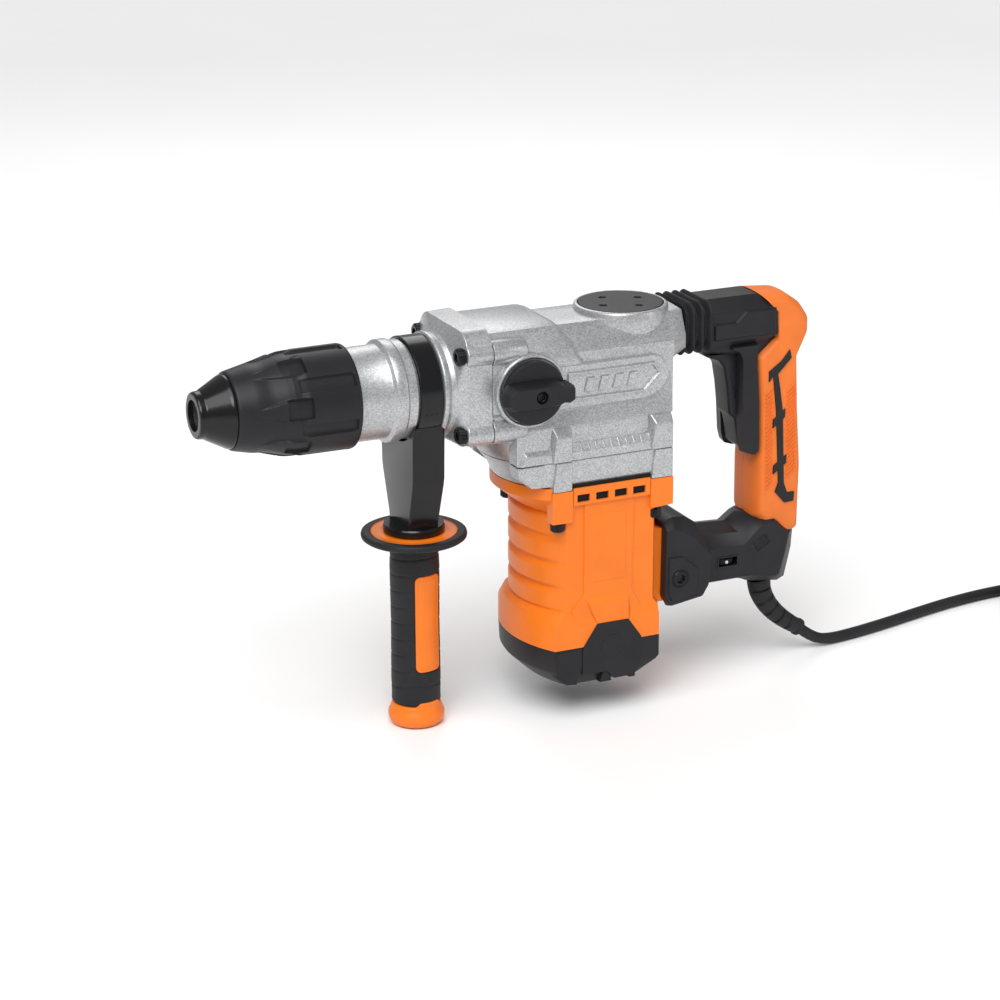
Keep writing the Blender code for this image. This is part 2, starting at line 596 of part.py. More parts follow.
def make_motor():
    centre = (MOTOR_X, 0.0)
    origin = (MOTOR_X, 0.0, -130.0)
    angles = tooth_angles(MOTOR_TEETH, 0.0)
    unit = np.column_stack([np.cos(angles), np.sin(angles)])
    radius = MODULE * MOTOR_TEETH / 2
    teeth = tooth_outline(MOTOR_TEETH, radius - DEDENDUM, radius + ADDENDUM, 0.0, centre)
    rings = [place_ring(unit * 4.5 + centre, "Z", -204.7), place_ring(unit * 4.5 + centre, "Z", -53.5),
             place_ring(teeth, "Z", -53.0), place_ring(teeth, "Z", -41.3)]
    make_part("armature_shaft", rings, "steel", origin=origin)
    bore = 4.9
    turned("rotor_core", [(-152.0, bore), (-152.0, 22.0), (-100.0, 22.0), (-100.0, bore)],
           "laminated_steel", axis="Z", centre=centre, origin=origin)
    turned("commutator", [(-184.0, bore), (-184.0, 13.0), (-162.0, 13.0), (-162.0, bore)],
           "copper", axis="Z", centre=centre, origin=origin)
    blades = tooth_outline(9, 15.0, 32.5, 0.0, centre)
    angles = tooth_angles(9, 0.0)
    hole = np.column_stack([bore * np.cos(angles), bore * np.sin(angles)]) + centre
    rings = [place_ring(blades, "Z", -90.0), place_ring(blades, "Z", -78.0),
             place_ring(hole, "Z", -78.0), place_ring(hole, "Z", -90.0)]
    make_part("cooling_fan", rings, "black_plastic", loop=True, origin=origin)
    turned("stator_core", [(-156.0, 23.4), (-156.0, STATOR_RADIUS - GAP),
                           (-96.0, STATOR_RADIUS - GAP), (-96.0, 23.4)],
           "laminated_steel", axis="Z", centre=centre)
    turned("upper_motor_bearing", [(-61.8, bore), (-61.8, 12.7), (-55.3, 12.7), (-55.3, bore)],
           "bearing_steel", axis="Z", centre=centre)
    turned("lower_motor_bearing", [(-204.5, bore), (-204.5, 11.1), (-196.0, 11.1), (-196.0, bore)],
           "bearing_steel", axis="Z", centre=centre)
    for name, side in (("carbon_brush_front", -1), ("carbon_brush_rear", 1)):
        near, far = MOTOR_X + side * 13.5, MOTOR_X + side * 29.0
        box(name, (min(near, far), -4.0, -178.0), (max(near, far), 4.0, -168.0), "carbon")


# ------------------------------------------------------------------ controls on the case

def make_mode_knob():
    """Dial with a grip bar; its spindle ends in the eccentric pin that shifts the clutch."""
    count = FINE
    centre = (KNOB_X, 0.0)
    rings = [place_ring(circle(2.5, count, (KNOB_X + 3.0, 0.0)), "Y", -31.0),
             place_ring(circle(2.5, count, (KNOB_X + 3.0, 0.0)), "Y", -35.0),
             place_ring(circle(8.0, count, centre), "Y", -35.0),
             place_ring(circle(8.0, count, centre), "Y", -44.4),
             place_ring(circle(21.6, count, centre), "Y", -44.4),
             place_ring(circle(21.6, count, centre), "Y", -50.0),
             place_ring(rounded(25.0, 8.5, 6.0, count, centre), "Y", -52.0),
             place_ring(rounded(23.0, 7.0, 5.0, count, centre), "Y", -61.0)]
    origin = (KNOB_X, -50.0, 0.0)
    knob = make_part("mode_knob", rings, "black_plastic", origin=origin)
    cut(knob, turned("screw_recess", [(-57.0, 4.3), (-66.0, 4.3)], None, axis="Y", centre=centre,
                     hollow=False, count=12))
    turned("knob_screw", [(-57.3, 3.4), (-60.0, 3.4)], "black_steel", axis="Y", centre=centre,
           hollow=False, count=12, origin=origin)


# ------------------------------------------------------------------------ side handle

def make_side_handle():
    low, high = BAND_X - BAND_WIDTH / 2, BAND_X + BAND_WIDTH / 2
    turned("clamp_band", [(low, 32.3), (low, 34.6), (high, 34.6), (high, 32.3)], "black_steel",
           count=FINE)
    centre = (BAND_X, 0.0)
    count = FINE
    sections = [(-20.0, 11.5, 28.5), (-58.0, 11.5, 26.0), (-84.0, 11.0, 18.0), (-95.0, 11.0, 17.0)]
    rings = [place_ring(rounded(u, v, 4.0, count, centre), "Z", z) for z, u, v in sections]
    rings += [place_ring(circle(radius, count, centre), "Z", z)
              for z, radius in ((-95.0, 21.0), (GUARD_Z + GAP, 21.0), (GUARD_Z + GAP, 4.8),
                                (-150.0, 4.8))]
    yoke = make_part("clamp_yoke", rings, "black_plastic")
    cut(yoke, turned("band_seat", [(-200.0, 34.9), (-100.0, 34.9)], None, count=FINE, hollow=False))
    origin = (BAND_X, 0.0, GUARD_Z)
    turned("hand_guard", [(GUARD_Z, 5.2), (GUARD_Z, 34.5), (GUARD_Z - 1.5, 35.7),
                          (GUARD_Z - 4.0, 35.7), (GUARD_Z - 5.0, 34.8), (GUARD_Z - 5.0, 5.2)],
           "black_rubber", axis="Z", centre=centre, count=FINE, origin=origin)
    turned("side_grip", [(GUARD_Z - 5.3, 5.3), (GUARD_Z - 5.3, 16.3), (-125.0, 17.2),
                         (-165.0, 16.6), (-205.0, 17.2), (GRIP_BOTTOM, 16.6),
                         (GRIP_BOTTOM, 5.3)],
           "black_rubber", axis="Z", centre=centre, origin=origin)
    turned("side_grip_cap", [(GRIP_BOTTOM - GAP, 16.4), (-226.0, 17.5), (-230.9, 19.3),
                             (-235.0, 18.6), (FLOOR_Z, 15.0)],
           "orange_plastic", axis="Z", centre=centre, hollow=False, origin=origin)


# ------------------------------------------------------------------------ rear handle

HANDLE_OUTLINE = [
    (57.3, 38.5), (100.0, 40.0), (124.0, 37.5), (137.0, 29.0), (143.8, 19.0), (143.8, 9.5),
    (134.0, -8.0), (136.5, -47.0), (139.5, -90.0), (137.5, -141.0), (131.0, -170.0),
    (123.0, -177.0), (103.0, -177.0), (98.0, -166.0), (90.0, -161.0), (50.3, -158.0),
    (50.3, -128.0), (84.0, -127.0), (95.0, -113.0), (94.5, -87.0), (99.0, -82.0),
    (98.0, -70.0), (95.0, -30.0), (91.0, -8.0), (72.0, -4.0), (57.3, -3.0),
]
YOKE_OUTLINE = [
    (14.8, -106.0), (30.0, -104.0), (40.0, -108.0), (50.0, -122.0), (50.0, -158.0),
    (43.0, -166.0), (18.5, -170.0), (14.8, -162.0),
]
TRIGGER_OUTLINE = [
    (59.5, -5.6), (70.0, -6.8), (84.0, -9.0), (90.0, -12.0), (94.2, -40.0), (97.0, -66.0),
    (98.5, -77.5), (96.5, -79.5), (87.7, -67.7), (82.0, -52.0), (79.2, -45.4), (71.8, -11.5),
    (65.0, -10.0),
]


def make_rear_handle():
    pivot_origin = (PIVOT[0], 0.0, PIVOT[1])
    trigger_bay = plate("trigger_bay", [(83.5, 3.0), (104.0, 3.0), (112.0, -20.0), (113.0, -85.0),
                                        (90.0, -85.0)], "Y", -13.6, 13.6, None)
    switch_bay = box("switch_bay", (110.0, -10.4, -73.0), (129.4, 10.4, -17.0))
    dial_bay = box("dial_bay", (DIAL[0] - 9.8, -25.0, DIAL[2] - 3.1), (DIAL[0] + 9.8, -2.0,
                                                                     DIAL[2] + 3.1))
    for name, side in (("rear_handle_left", -1), ("rear_handle_right", 1)):
        levels = [(0.15, 0.0), (HANDLE_HALF - 4.5, 0.0), (HANDLE_HALF, 4.5)]
        rings = [place_ring(inset(HANDLE_OUTLINE, depth), "Y", side * y) for y, depth in levels]
        half = make_part(name, rings, "orange_rubber", origin=pivot_origin)
        cut(half, trigger_bay, switch_bay)
        if side < 0:
            cut(half, dial_bay)
    levels = [(-44.5, 4.0), (-39.0, 0.0), (39.0, 0.0), (44.5, 4.0)]
    rings = [place_ring(inset(YOKE_OUTLINE, depth), "Y", y) for y, depth in levels]
    yoke = make_part("handle_yoke", rings, "black_plastic", origin=pivot_origin)
    cut(yoke, box("lug_bay", (5.0, -36.8, -180.0), (41.0, 36.8, -112.0)),
        turned("yoke_eye", [(-60.0, 4.4), (60.0, 4.4)], None, axis="Y", centre=PIVOT, hollow=False,
               count=16))
    turned("pivot_bolt", [(-46.5, 5.0), (-46.0, 6.2), (-44.8, 6.2), (-44.8, 4.0), (44.8, 4.0),
                          (44.8, 6.2), (46.5, 6.2)], "black_steel", axis="Y", centre=PIVOT,
           hollow=False, count=16)
    levels = [(-12.8, 2.0), (-10.5, 0.0), (10.5, 0.0), (12.8, 2.0)]
    rings = [place_ring(inset(TRIGGER_OUTLINE, depth), "Y", y) for y, depth in levels]
    make_part("trigger", rings, "black_plastic", origin=(TRIGGER_PIVOT[0], 0.0, TRIGGER_PIVOT[1]))
    box("trigger_switch", (113.4, -10.0, -72.0), (129.0, 10.0, -18.0), "black_plastic")
    turned("speed_dial", [(DIAL[2] - 2.6, 8.4), (DIAL[2] - 2.0, 9.0), (DIAL[2] + 2.0, 9.0),
                          (DIAL[2] + 2.6, 8.4)], "black_plastic", axis="Z",
           centre=DIAL[:2], hollow=False, origin=DIAL)


def make_bellows():
    """Three ribs of rubber between the gear housing and the upper arm of the handle."""
    stations = [(37.4, 0.0), (40.5, -4.0), (43.8, 0.0), (47.0, -4.0), (50.3, 0.0), (53.5, -4.0),
                (56.8, 0.0)]
    centre = (0.0, 18.0)
    outer = [place_ring(rounded(25.0 + d, 21.0 + d, 9.0, 16, centre), "X", x) for x, d in stations]
    inner = [place_ring(rounded(22.0 + d, 18.0 + d, 7.0, 16, centre), "X", x)
             for x, d in reversed(stations)]
    make_part("bellows", outer + inner, "black_rubber", loop=True)


# ------------------------------------------------------------------------------- cord

def smooth_route(points, spacing):
    """Even steps along a Catmull-Rom curve through the route's points."""
    knots = [np.array(p) for p in points]
    knots = [2 * knots[0] - knots[1], *knots, 2 * knots[-1] - knots[-2]]
    fine = []
    for a, b, c, d in zip(knots, knots[1:], knots[2:], knots[3:]):
        for t in np.linspace(0.0, 1.0, 20, endpoint=False):
            fine.append(0.5 * (2 * b + (c - a) * t + (2 * a - 5 * b + 4 * c - d) * t ** 2
                               + (3 * b - a - 3 * c + d) * t ** 3))
    fine = np.array([*fine, knots[-2]])
    lengths = np.concatenate([[0.0], np.cumsum(np.linalg.norm(np.diff(fine, axis=0), axis=1))])
    stations = np.linspace(0.0, lengths[-1], max(2, round(lengths[-1] / spacing)) + 1)
    return np.column_stack([np.interp(stations, lengths, fine[:, i]) for i in range(3)])


def make_strain_relief():
    """Tapered sleeve that bends from the handle down to the cord."""
    path = smooth_route([(112.5, 0.0, -177.4), (114.8, 0.0, -187.5), (120.0, 0.0, -197.0),
                         (128.0, 0.0, -206.0), (137.0, 0.0, -213.3), (147.0, 0.0, -220.0)], 7.5)
    radii = np.linspace(8.0, 5.6, len(path))
    rings = []
    for i, point in enumerate(path):
        ahead = path[min(i + 1, len(path) - 1)] - path[max(i - 1, 0)]
        ahead /= np.linalg.norm(ahead)
        if i == 0:
            ahead = np.array([0.0, 0.0, -1.0])
        across = np.array([-ahead[2], 0.0, ahead[0]])
        ring = circle(radii[i], 12)
        rings.append(point + ring[:, :1] * across + ring[:, 1:] * np.array([0.0, 1.0, 0.0]))
    make_part("strain_relief", rings, "black_rubber")


def make_cord():
    curve = bpy.data.curves.new("power_cord", "CURVE")
    curve.dimensions = "3D"
    curve.bevel_depth = CORD_RADIUS * MM
    curve.bevel_resolution = 2
    curve.use_fill_caps = True
    points = smooth_route(CORD_ROUTE, 4 * CORD_RADIUS) * MM
    spline = curve.splines.new("POLY")
    spline.points.add(len(points) - 1)
    for target, point in zip(spline.points, points):
        target.co = (*point, 1.0)
    cord = bpy.data.objects.new("power_cord", curve)
    cord.parent = FRAME
    bpy.context.scene.collection.objects.link(cord)
    curve.materials.append(make_material("black_rubber"))

    half = COIL_LAYERS * CORD_RADIUS
    low, high = COIL_RADIUS - half - GAP, COIL_RADIUS + half + GAP
    top = FLOOR_Z + 2 * half + GAP
    turned("cord_coil", [(FLOOR_Z, low + 1.5), (FLOOR_Z, high - 1.5), (FLOOR_Z + 3.0, high),
                         (top - 3.0, high), (top, high - 3.0), (top, low + 3.0), (top - 3.0, low),
                         (FLOOR_Z + 3.0, low)],
           "black_rubber", axis="Z", centre=COIL_CENTRE, count=FINE)


def make_plug():
    """Round contour plug beside the coil, its pins pointing away along -Y."""
    x = COIL_CENTRE[0] + COIL_RADIUS + 2 * CORD_RADIUS
    start = COIL_CENTRE[1] - 33.0
    height = FLOOR_Z + 18.0
    profile = [(start, 5.5), (start - 20.0, 7.0), (start - 26.0, 12.0), (start - 36.0, 17.0),
               (start - 50.0, 17.9), (start - 53.0, 17.9)]
    plug = turned("power_plug", profile, "black_rubber", axis="Y", centre=(x, height), hollow=False)
    pins = [turned(f"plug_pin_{i}", [(start - 48.0, 2.4), (start - 72.0, 2.4)], None, axis="Y",
                   centre=(x + offset, height), hollow=False, count=12)
            for i, offset in enumerate((-9.5, 9.5))]
    add(plug, *pins)


clear_scene()
FRAME = make_frame()
make_dust_cap()
make_chuck_sleeve()
make_sleeve_spring()
make_tool_holder()
make_impact_train()
make_gears()
make_crankshaft()
make_front_housing()
make_gear_housing()
make_bearing_plate()
make_gear_housing_base()
make_motor_housing()
make_end_cap()
make_motor()
make_mode_knob()
make_side_handle()
make_rear_handle()
make_bellows()
make_strain_relief()
make_cord()
make_plug()
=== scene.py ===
"""Looks of a rotary hammer: camera, cord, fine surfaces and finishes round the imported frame.

Lengths in the tables below are millimetres in the hammer's own frame: X along the hammer
axis with the nose towards -X, Z = 0 on that axis, Y = 0 the plane of symmetry.
"""

import json
import math

import bmesh
import bpy
import numpy as np
from mathutils import Matrix


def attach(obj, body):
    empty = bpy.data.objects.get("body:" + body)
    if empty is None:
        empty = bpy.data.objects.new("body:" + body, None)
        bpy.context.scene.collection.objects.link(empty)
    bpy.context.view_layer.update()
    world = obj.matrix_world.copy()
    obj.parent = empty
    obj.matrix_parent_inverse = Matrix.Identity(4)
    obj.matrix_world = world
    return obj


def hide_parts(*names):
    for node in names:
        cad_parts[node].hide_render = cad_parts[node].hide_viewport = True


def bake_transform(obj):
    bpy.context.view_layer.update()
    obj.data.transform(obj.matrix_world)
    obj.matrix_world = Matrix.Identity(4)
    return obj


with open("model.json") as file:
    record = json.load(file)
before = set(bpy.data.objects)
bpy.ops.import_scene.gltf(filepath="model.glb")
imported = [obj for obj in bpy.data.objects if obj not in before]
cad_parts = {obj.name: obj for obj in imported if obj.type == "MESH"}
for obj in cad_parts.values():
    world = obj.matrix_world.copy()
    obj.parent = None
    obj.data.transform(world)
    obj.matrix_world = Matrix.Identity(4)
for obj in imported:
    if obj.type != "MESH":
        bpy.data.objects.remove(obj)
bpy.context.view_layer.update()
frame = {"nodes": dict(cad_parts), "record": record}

MM = 0.001
SHIFT = np.array([36, 0, 215])          # hammer frame to row frame
TAU = 2 * math.pi
FLOOR_Z = -238
SIDES = (-1, 1)
KNOB_CENTRE = (-87, 0)                  # X and Z of the mode knob's axis
VENT_Z = -78.9                          # height of the row of vents
PLUG_CENTRE = (436, -220)               # X and Z of the plug's axis
DIAL_CENTRE = (75, -11.5)               # X and Y of the speed dial's axis
DIAL_WINDOW = (74.8, -151)              # X and Z of its window
PIVOT = (25, -148)                      # X and Z of the bolt that the rear handle swings on
INLAY_FACES = math.radians(-78)         # the way that the side grip's inlay faces


# --------------------------------------------------------------------------- camera

def unit(vector):
    """The vector divided by its length."""
    vector = np.asarray(vector, float)
    return vector / np.linalg.norm(vector)


def add_camera():
    """Camera to the left of the hammer, looking slightly down on it."""
    turn, raised, roll = math.radians(-24.6501), math.radians(18.8809), math.radians(-0.2241)
    right = np.array([math.cos(turn), math.sin(turn), 0])
    back = np.array([math.sin(turn) * math.cos(raised), -math.cos(turn) * math.cos(raised),
                     math.sin(raised)])
    up = np.cross(back, right)
    right, up = (right * math.cos(roll) + up * math.sin(roll),
                 up * math.cos(roll) - right * math.sin(roll))
    place = (np.array([-873.597, -1707.570, 554.343]) + SHIFT) * MM
    camera = bpy.data.cameras.new("camera")
    camera.lens, camera.sensor_width = 105.63, 36
    camera.clip_start, camera.clip_end = 0.05, 30
    holder = bpy.data.objects.new("camera", camera)
    pose = np.eye(4)
    pose[:3, 0], pose[:3, 1], pose[:3, 2], pose[:3, 3] = right, up, back, place
    holder.matrix_world = Matrix(pose.tolist())
    bpy.context.scene.collection.objects.link(holder)
    bpy.context.scene.camera = holder


# --------------------------------------------------------------------------- finishes

def finish(name, colour, roughness, metallic=0, mottle=0.12, mottle_scale=60, grain_scale=2500,
           grain=0.15, grain_mm=0.05, coat=0, sparkle=None, rough_spread=0.08):
    """Principled finish: cloudy colour drift, fine grain in bump and roughness, and, for
    blasted castings, cells of lighter and darker metal."""
    material = bpy.data.materials.new(name)
    material.use_nodes = True
    nodes, links = material.node_tree.nodes, material.node_tree.links
    shader = nodes["Principled BSDF"]
    where = nodes.new("ShaderNodeTexCoord").outputs["Object"]

    def setting(node, **values):
        for socket, value in values.items():
            node.inputs[socket.replace("_", " ")].default_value = value
        return node

    def pattern(kind, **values):
        node = setting(nodes.new("ShaderNodeTex" + kind), **values)
        links.new(where, node.inputs["Vector"])
        return node

    def tones(source, low, high):
        node = nodes.new("ShaderNodeValToRGB")
        for stop, tone in zip(node.color_ramp.elements, (low, high)):
            stop.color = (*tone, 1)
        links.new(source, node.inputs["Fac"])
        return node

    setting(shader, Metallic=metallic, Coat_Weight=coat, Coat_Roughness=0.12,
            Specular_IOR_Level=0.28 if max(colour) < 0.05 else 0.4)
    cloud = pattern("Noise", Scale=mottle_scale, Detail=4)
    tint = tones(cloud.outputs["Fac"], [c * (1 - mottle) for c in colour],
                 [min(1, c * (1 + mottle)) for c in colour])
    tint.color_ramp.elements[0].position, tint.color_ramp.elements[1].position = 0.3, 0.7
    paint = tint.outputs["Color"]
    height = pattern("Noise", Scale=grain_scale, Detail=3).outputs["Fac"]
    if sparkle:
        cell_scale, dark, light = sparkle
        cells = pattern("Voronoi", Scale=cell_scale)
        grey = nodes.new("ShaderNodeSeparateColor")
        links.new(cells.outputs["Color"], grey.inputs["Color"])
        flake = tones(grey.outputs[0], (dark,) * 3, (light,) * 3)
        blend = nodes.new("ShaderNodeMix")
        blend.data_type, blend.blend_type = "RGBA", "MULTIPLY"
        blend.inputs["Factor"].default_value = 1
        links.new(paint, blend.inputs["A"])
        links.new(flake.outputs["Color"], blend.inputs["B"])
        paint = blend.outputs["Result"]
    links.new(paint, shader.inputs["Base Color"])

    rough = setting(nodes.new("ShaderNodeMapRange"), To_Min=max(0.02, roughness - rough_spread),
                    To_Max=min(1, roughness + rough_spread))
    bump = setting(nodes.new("ShaderNodeBump"), Strength=grain, Distance=grain_mm * MM)
    links.new(height, rough.inputs["Value"])
    links.new(rough.outputs["Result"], shader.inputs["Roughness"])
    links.new(height, bump.inputs["Height"])
    links.new(bump.outputs["Normal"], shader.inputs["Normal"])
    return material


def make_finishes():
    """One finish for each slot of the record, and the extra ones of trims, marks and painted
    shade.
    """
    plain = {
        "steel": ((0.52, 0.52, 0.53), 0.30, 1, 0.08),
        "bearing_steel": ((0.62, 0.62, 0.64), 0.22, 1, 0.05),
        "spring_steel": ((0.35, 0.36, 0.38), 0.35, 1, 0.1),
        "laminated_steel": ((0.28, 0.28, 0.30), 0.5, 0.9, 0.15),
        "copper": ((0.75, 0.36, 0.20), 0.35, 1, 0.1),
        "carbon": ((0.03, 0.03, 0.03), 0.6, 0.2, 0.2),
        # painted shade: near-black finish for the dark backings that stand in for the shade inside
        # vents and seams
        "painted_shade": ((0.006, 0.006, 0.006), 0.8, 0, 0.1),
        "white_mark": ((0.75, 0.75, 0.75), 0.5, 0, 0.03),
    }
    grained = {
        "die_cast": dict(colour=(0.46, 0.47, 0.48), roughness=0.36, metallic=0.70, mottle=0.03,
                         mottle_scale=40, grain_scale=1800, grain=0.4, grain_mm=0.08,
                         sparkle=(1500, 0.74, 1.28)),
        "orange_plastic": dict(colour=(0.85, 0.185, 0.008), roughness=0.40, mottle=0.04,
                               grain=0.12),
        "orange_rubber": dict(colour=(0.78, 0.175, 0.022), roughness=0.55, mottle=0.05,
                              grain_scale=1800, grain=0.25),
        "black_plastic": dict(colour=(0.0125, 0.012, 0.0145), roughness=0.44, mottle=0.15,
                              grain_scale=1600, grain=0.35, grain_mm=0.08),
        "black_rubber": dict(colour=(0.014, 0.014, 0.016), roughness=0.56, mottle=0.2,
                             grain_scale=1400, grain=0.3),
        "gloss_black": dict(colour=(0.006, 0.006, 0.007), roughness=0.20, mottle=0.1, grain=0.04,
                            coat=0.12, rough_spread=0.03),
        "black_steel": dict(colour=(0.010, 0.010, 0.012), roughness=0.24, metallic=0.35,
                            mottle=0.2, mottle_scale=90, grain_scale=900, grain=0.15,
                            coat=0.1, rough_spread=0.05),
    }
    finishes = {name: finish(name, **values) for name, values in grained.items()}
    finishes.update({name: finish(name, *values) for name, values in plain.items()})
    return finishes


# ----------------------------------------------------------------- outlines and rings

def softened(outline, radius, steps=5):
    """Each corner P of a closed outline becomes the curve (1-t)^2 A + 2t(1-t) P + t^2 B,
    where A and B lie the radius away from P along its two sides."""
    corner = np.asarray(outline, float)
    before = np.roll(corner, 1, 0) - corner
    after = np.roll(corner, -1, 0) - corner
    length_before = np.linalg.norm(before, axis=1, keepdims=True)
    length_after = np.linalg.norm(after, axis=1, keepdims=True)
    radius = np.broadcast_to(np.reshape(radius, (-1, 1)), (len(corner), 1))
    a = corner + before / length_before * np.minimum(radius, 0.48 * length_before)
    b = corner + after / length_after * np.minimum(radius, 0.48 * length_after)
    t = np.linspace(0, 1, steps)[None, :, None]
    curve = (1 - t) ** 2 * a[:, None] + 2 * t * (1 - t) * corner[:, None] + t * t * b[:, None]
    return curve.reshape(-1, corner.shape[1])


def inset(outline, distance):
    """Moves each point along its mitre m = (n1 + n2) / (1 + n1.n2) by the distance, inwards."""
    p = np.asarray(outline, float)
    q = np.roll(p, -1, 0)
    turn = np.sign(np.sum(p[:, 0] * q[:, 1] - q[:, 0] * p[:, 1]))
    side = q - p
    side /= np.maximum(np.linalg.norm(side, axis=1, keepdims=True), 1e-9)
    after = np.column_stack([-side[:, 1], side[:, 0]]) * turn
    before = np.roll(after, 1, 0)
    mitre = (before + after) / np.maximum(1 + np.sum(before * after, axis=1, keepdims=True), 0.3)
    return p + mitre * distance


def circle(radius, count, centre=(0, 0)):
    """Points at centre + radius (cos a, sin a)."""
    angle = np.arange(count) * TAU / count
    return np.column_stack([centre[0] + radius * np.cos(angle),
                            centre[1] + radius * np.sin(angle)])


def squared(half_u, half_v, corner, count, centre=(0, 0)):
    """A rectangle with round corners: centre + sign(cos a) (half - r) + r cos a, and so in v."""
    angle = (np.arange(count) + 0.5) * TAU / count
    return np.column_stack([
        centre[0] + np.sign(np.cos(angle)) * (half_u - corner) + corner * np.cos(angle),
        centre[1] + np.sign(np.sin(angle)) * (half_v - corner) + corner * np.sin(angle)])


def placed(axis, station, u, v):
    """Points with the station along an axis and u, v on the two others, in their order."""
    order = {"X": (station, u, v), "Y": (u, station, v), "Z": (u, v, station)}[axis]
    return np.stack(order, -1)


def across(axis, points, station):
    """Flat points set across an axis at a station, a number or one value for each point."""
    points = np.asarray(points, float)
    column = np.broadcast_to(np.asarray(station, float), (len(points),))
    return placed(axis, column, points[:, 0], points[:, 1])


def skin(rings, loop=False):
    """A closed surface through rings of equal count: quads between neighbours, flat ends."""
    rings = np.asarray(rings, float)
    rows, columns, _ = rings.shape
    spans = rows if loop else rows - 1
    i = np.arange(spans)[:, None]
    j = np.arange(columns)[None, :]
    a, b = i * columns, ((i + 1) % rows) * columns
    k = (j + 1) % columns
    faces = np.stack([a + j, a + k, b + k, b + j], -1).reshape(-1, 4).tolist()
    if not loop:
        faces.append(list(range(columns)))
        faces.append(list(range((rows - 1) * columns, rows * columns)))
    return rings.reshape(-1, 3), faces


def dense(profile, step):
    """The profile with points added so that no stretch is longer than the step."""
    p = np.asarray(profile, float)
    length = np.concatenate([[0], np.cumsum(np.linalg.norm(np.diff(p, axis=0), axis=1))])
    station = np.union1d(length, np.linspace(0, length[-1], int(length[-1] / step) + 2))
    return np.column_stack([np.interp(station, length, p[:, i]) for i in range(p.shape[1])])


def turned(profile, axis="X", count=96, centre=(0, 0), relief=None, loop=False):
    """A profile of (station, radius) turned round an axis: u = radius cos a, v = radius sin a;
    relief(station, angle) is added to the radius."""
    p = np.asarray(profile, float)
    angle = np.arange(count) * TAU / count
    radius = np.repeat(p[:, 1:2], count, 1)
    station = np.repeat(p[:, 0:1], count, 1)
    if relief:
        radius = radius + relief(station, np.broadcast_to(angle, radius.shape))
    return skin(placed(axis, station, centre[0] + radius * np.cos(angle),
                       centre[1] + radius * np.sin(angle)), loop)


def slab(outline, axis, low, high, draft_low=0, draft_high=0):
    """An outline carried from low to high across an axis, drawn in by the drafts at its ends."""
    return skin([across(axis, inset(outline, draft_low) if draft_low else outline, low),
                 across(axis, inset(outline, draft_high) if draft_high else outline, high)])


def block(low, high):
    """A box between two corners."""
    corners = [(low[0], low[1]), (high[0], low[1]), (high[0], high[1]), (low[0], high[1])]
    return slab(corners, "Z", low[2], high[2])


def ramp(x, start, end):
    """0 before start, 1 after end and 3t^2 - 2t^3 between them."""
    t = np.clip((x - start) / (end - start), 0, 1)
    return t * t * (3 - 2 * t)


def band(x, low, high, edge):
    """1 from low to high, falling to 0 over an edge at each end."""
    return ramp(x, low - edge / 2, low + edge / 2) - ramp(x, high - edge / 2, high + edge / 2)


def smooth_route(points, spacing):
    """Even steps along the Catmull-Rom curve through the points."""
    knots = np.asarray(points, float)
    knots = np.vstack([2 * knots[0] - knots[1], knots, 2 * knots[-1] - knots[-2]])
    a, b, c, d = knots[:-3, None], knots[1:-2, None], knots[2:-1, None], knots[3:, None]
    t = np.linspace(0, 1, 24, endpoint=False)[None, :, None]
    fine = 0.5 * (2 * b + (c - a) * t + (2 * a - 5 * b + 4 * c - d) * t ** 2
                  + (3 * b - a - 3 * c + d) * t ** 3)
    fine = np.vstack([fine.reshape(-1, 3), knots[-2:-1]])
    length = np.concatenate([[0], np.cumsum(np.linalg.norm(np.diff(fine, axis=0), axis=1))])
    station = np.linspace(0, length[-1], max(2, round(length[-1] / spacing)) + 1)
    return np.column_stack([np.interp(station, length, fine[:, i]) for i in range(3)])


def carried(path, count, radius):
    """A tube along a path in the XZ plane: centre + r(s, a) (cos a N + sin a Y)."""
    path = np.asarray(path, float)
    ahead = np.gradient(path, axis=0)
    ahead /= np.linalg.norm(ahead, axis=1, keepdims=True)
    normal = np.column_stack([-ahead[:, 2], np.zeros(len(path)), ahead[:, 0]])
    sideways = np.cross(normal, ahead)
    angle = np.arange(count) * TAU / count
    share = np.linspace(0, 1, len(path))[:, None]
    r = radius(share, np.broadcast_to(angle, (len(path), count)))[..., None]
    rings = (path[:, None] + r * (np.cos(angle)[None, :, None] * normal[:, None]
                                  + np.sin(angle)[None, :, None] * sideways[:, None]))
    return skin(rings)


def mirrored(shape):
    """The shape with y turned to -y."""
    points, faces = shape
    return points * (1, -1, 1), faces


# ----------------------------------------------------------------------------- pieces

def build(name, shapes):
    """One mesh from several closed shapes, faces pointing out, placed in the row frame."""
    points = np.vstack([shape[0] for shape in shapes])
    starts = np.concatenate([[0], np.cumsum([len(shape[0]) for shape in shapes])])
    faces = [[start + i for i in face] for start, shape in zip(starts, shapes)
             for face in shape[1]]
    mesh = bpy.data.meshes.new(name)
    mesh.from_pydata((points + SHIFT) * MM, [], faces)
    work = bmesh.new()
    work.from_mesh(mesh)
    bmesh.ops.recalc_face_normals(work, faces=work.faces)
    work.to_mesh(mesh)
    work.free()
    return mesh


def carve(mesh, tools):
    """The mesh with closed tool shapes cut out of it."""
    holder = bpy.data.objects.new("blank", mesh)
    cutter = bpy.data.objects.new("cutter", build("cutter", tools))
    for item in (holder, cutter):
        bpy.context.scene.collection.objects.link(item)
    change = holder.modifiers.new("cut", "BOOLEAN")
    change.operation, change.solver, change.object = "DIFFERENCE", "EXACT", cutter
    change.use_self = True
    ready = holder.evaluated_get(bpy.context.evaluated_depsgraph_get())
    result = bpy.data.meshes.new_from_object(ready)
    for item in (holder, cutter):
        bpy.data.objects.remove(item, do_unlink=True)
    return result


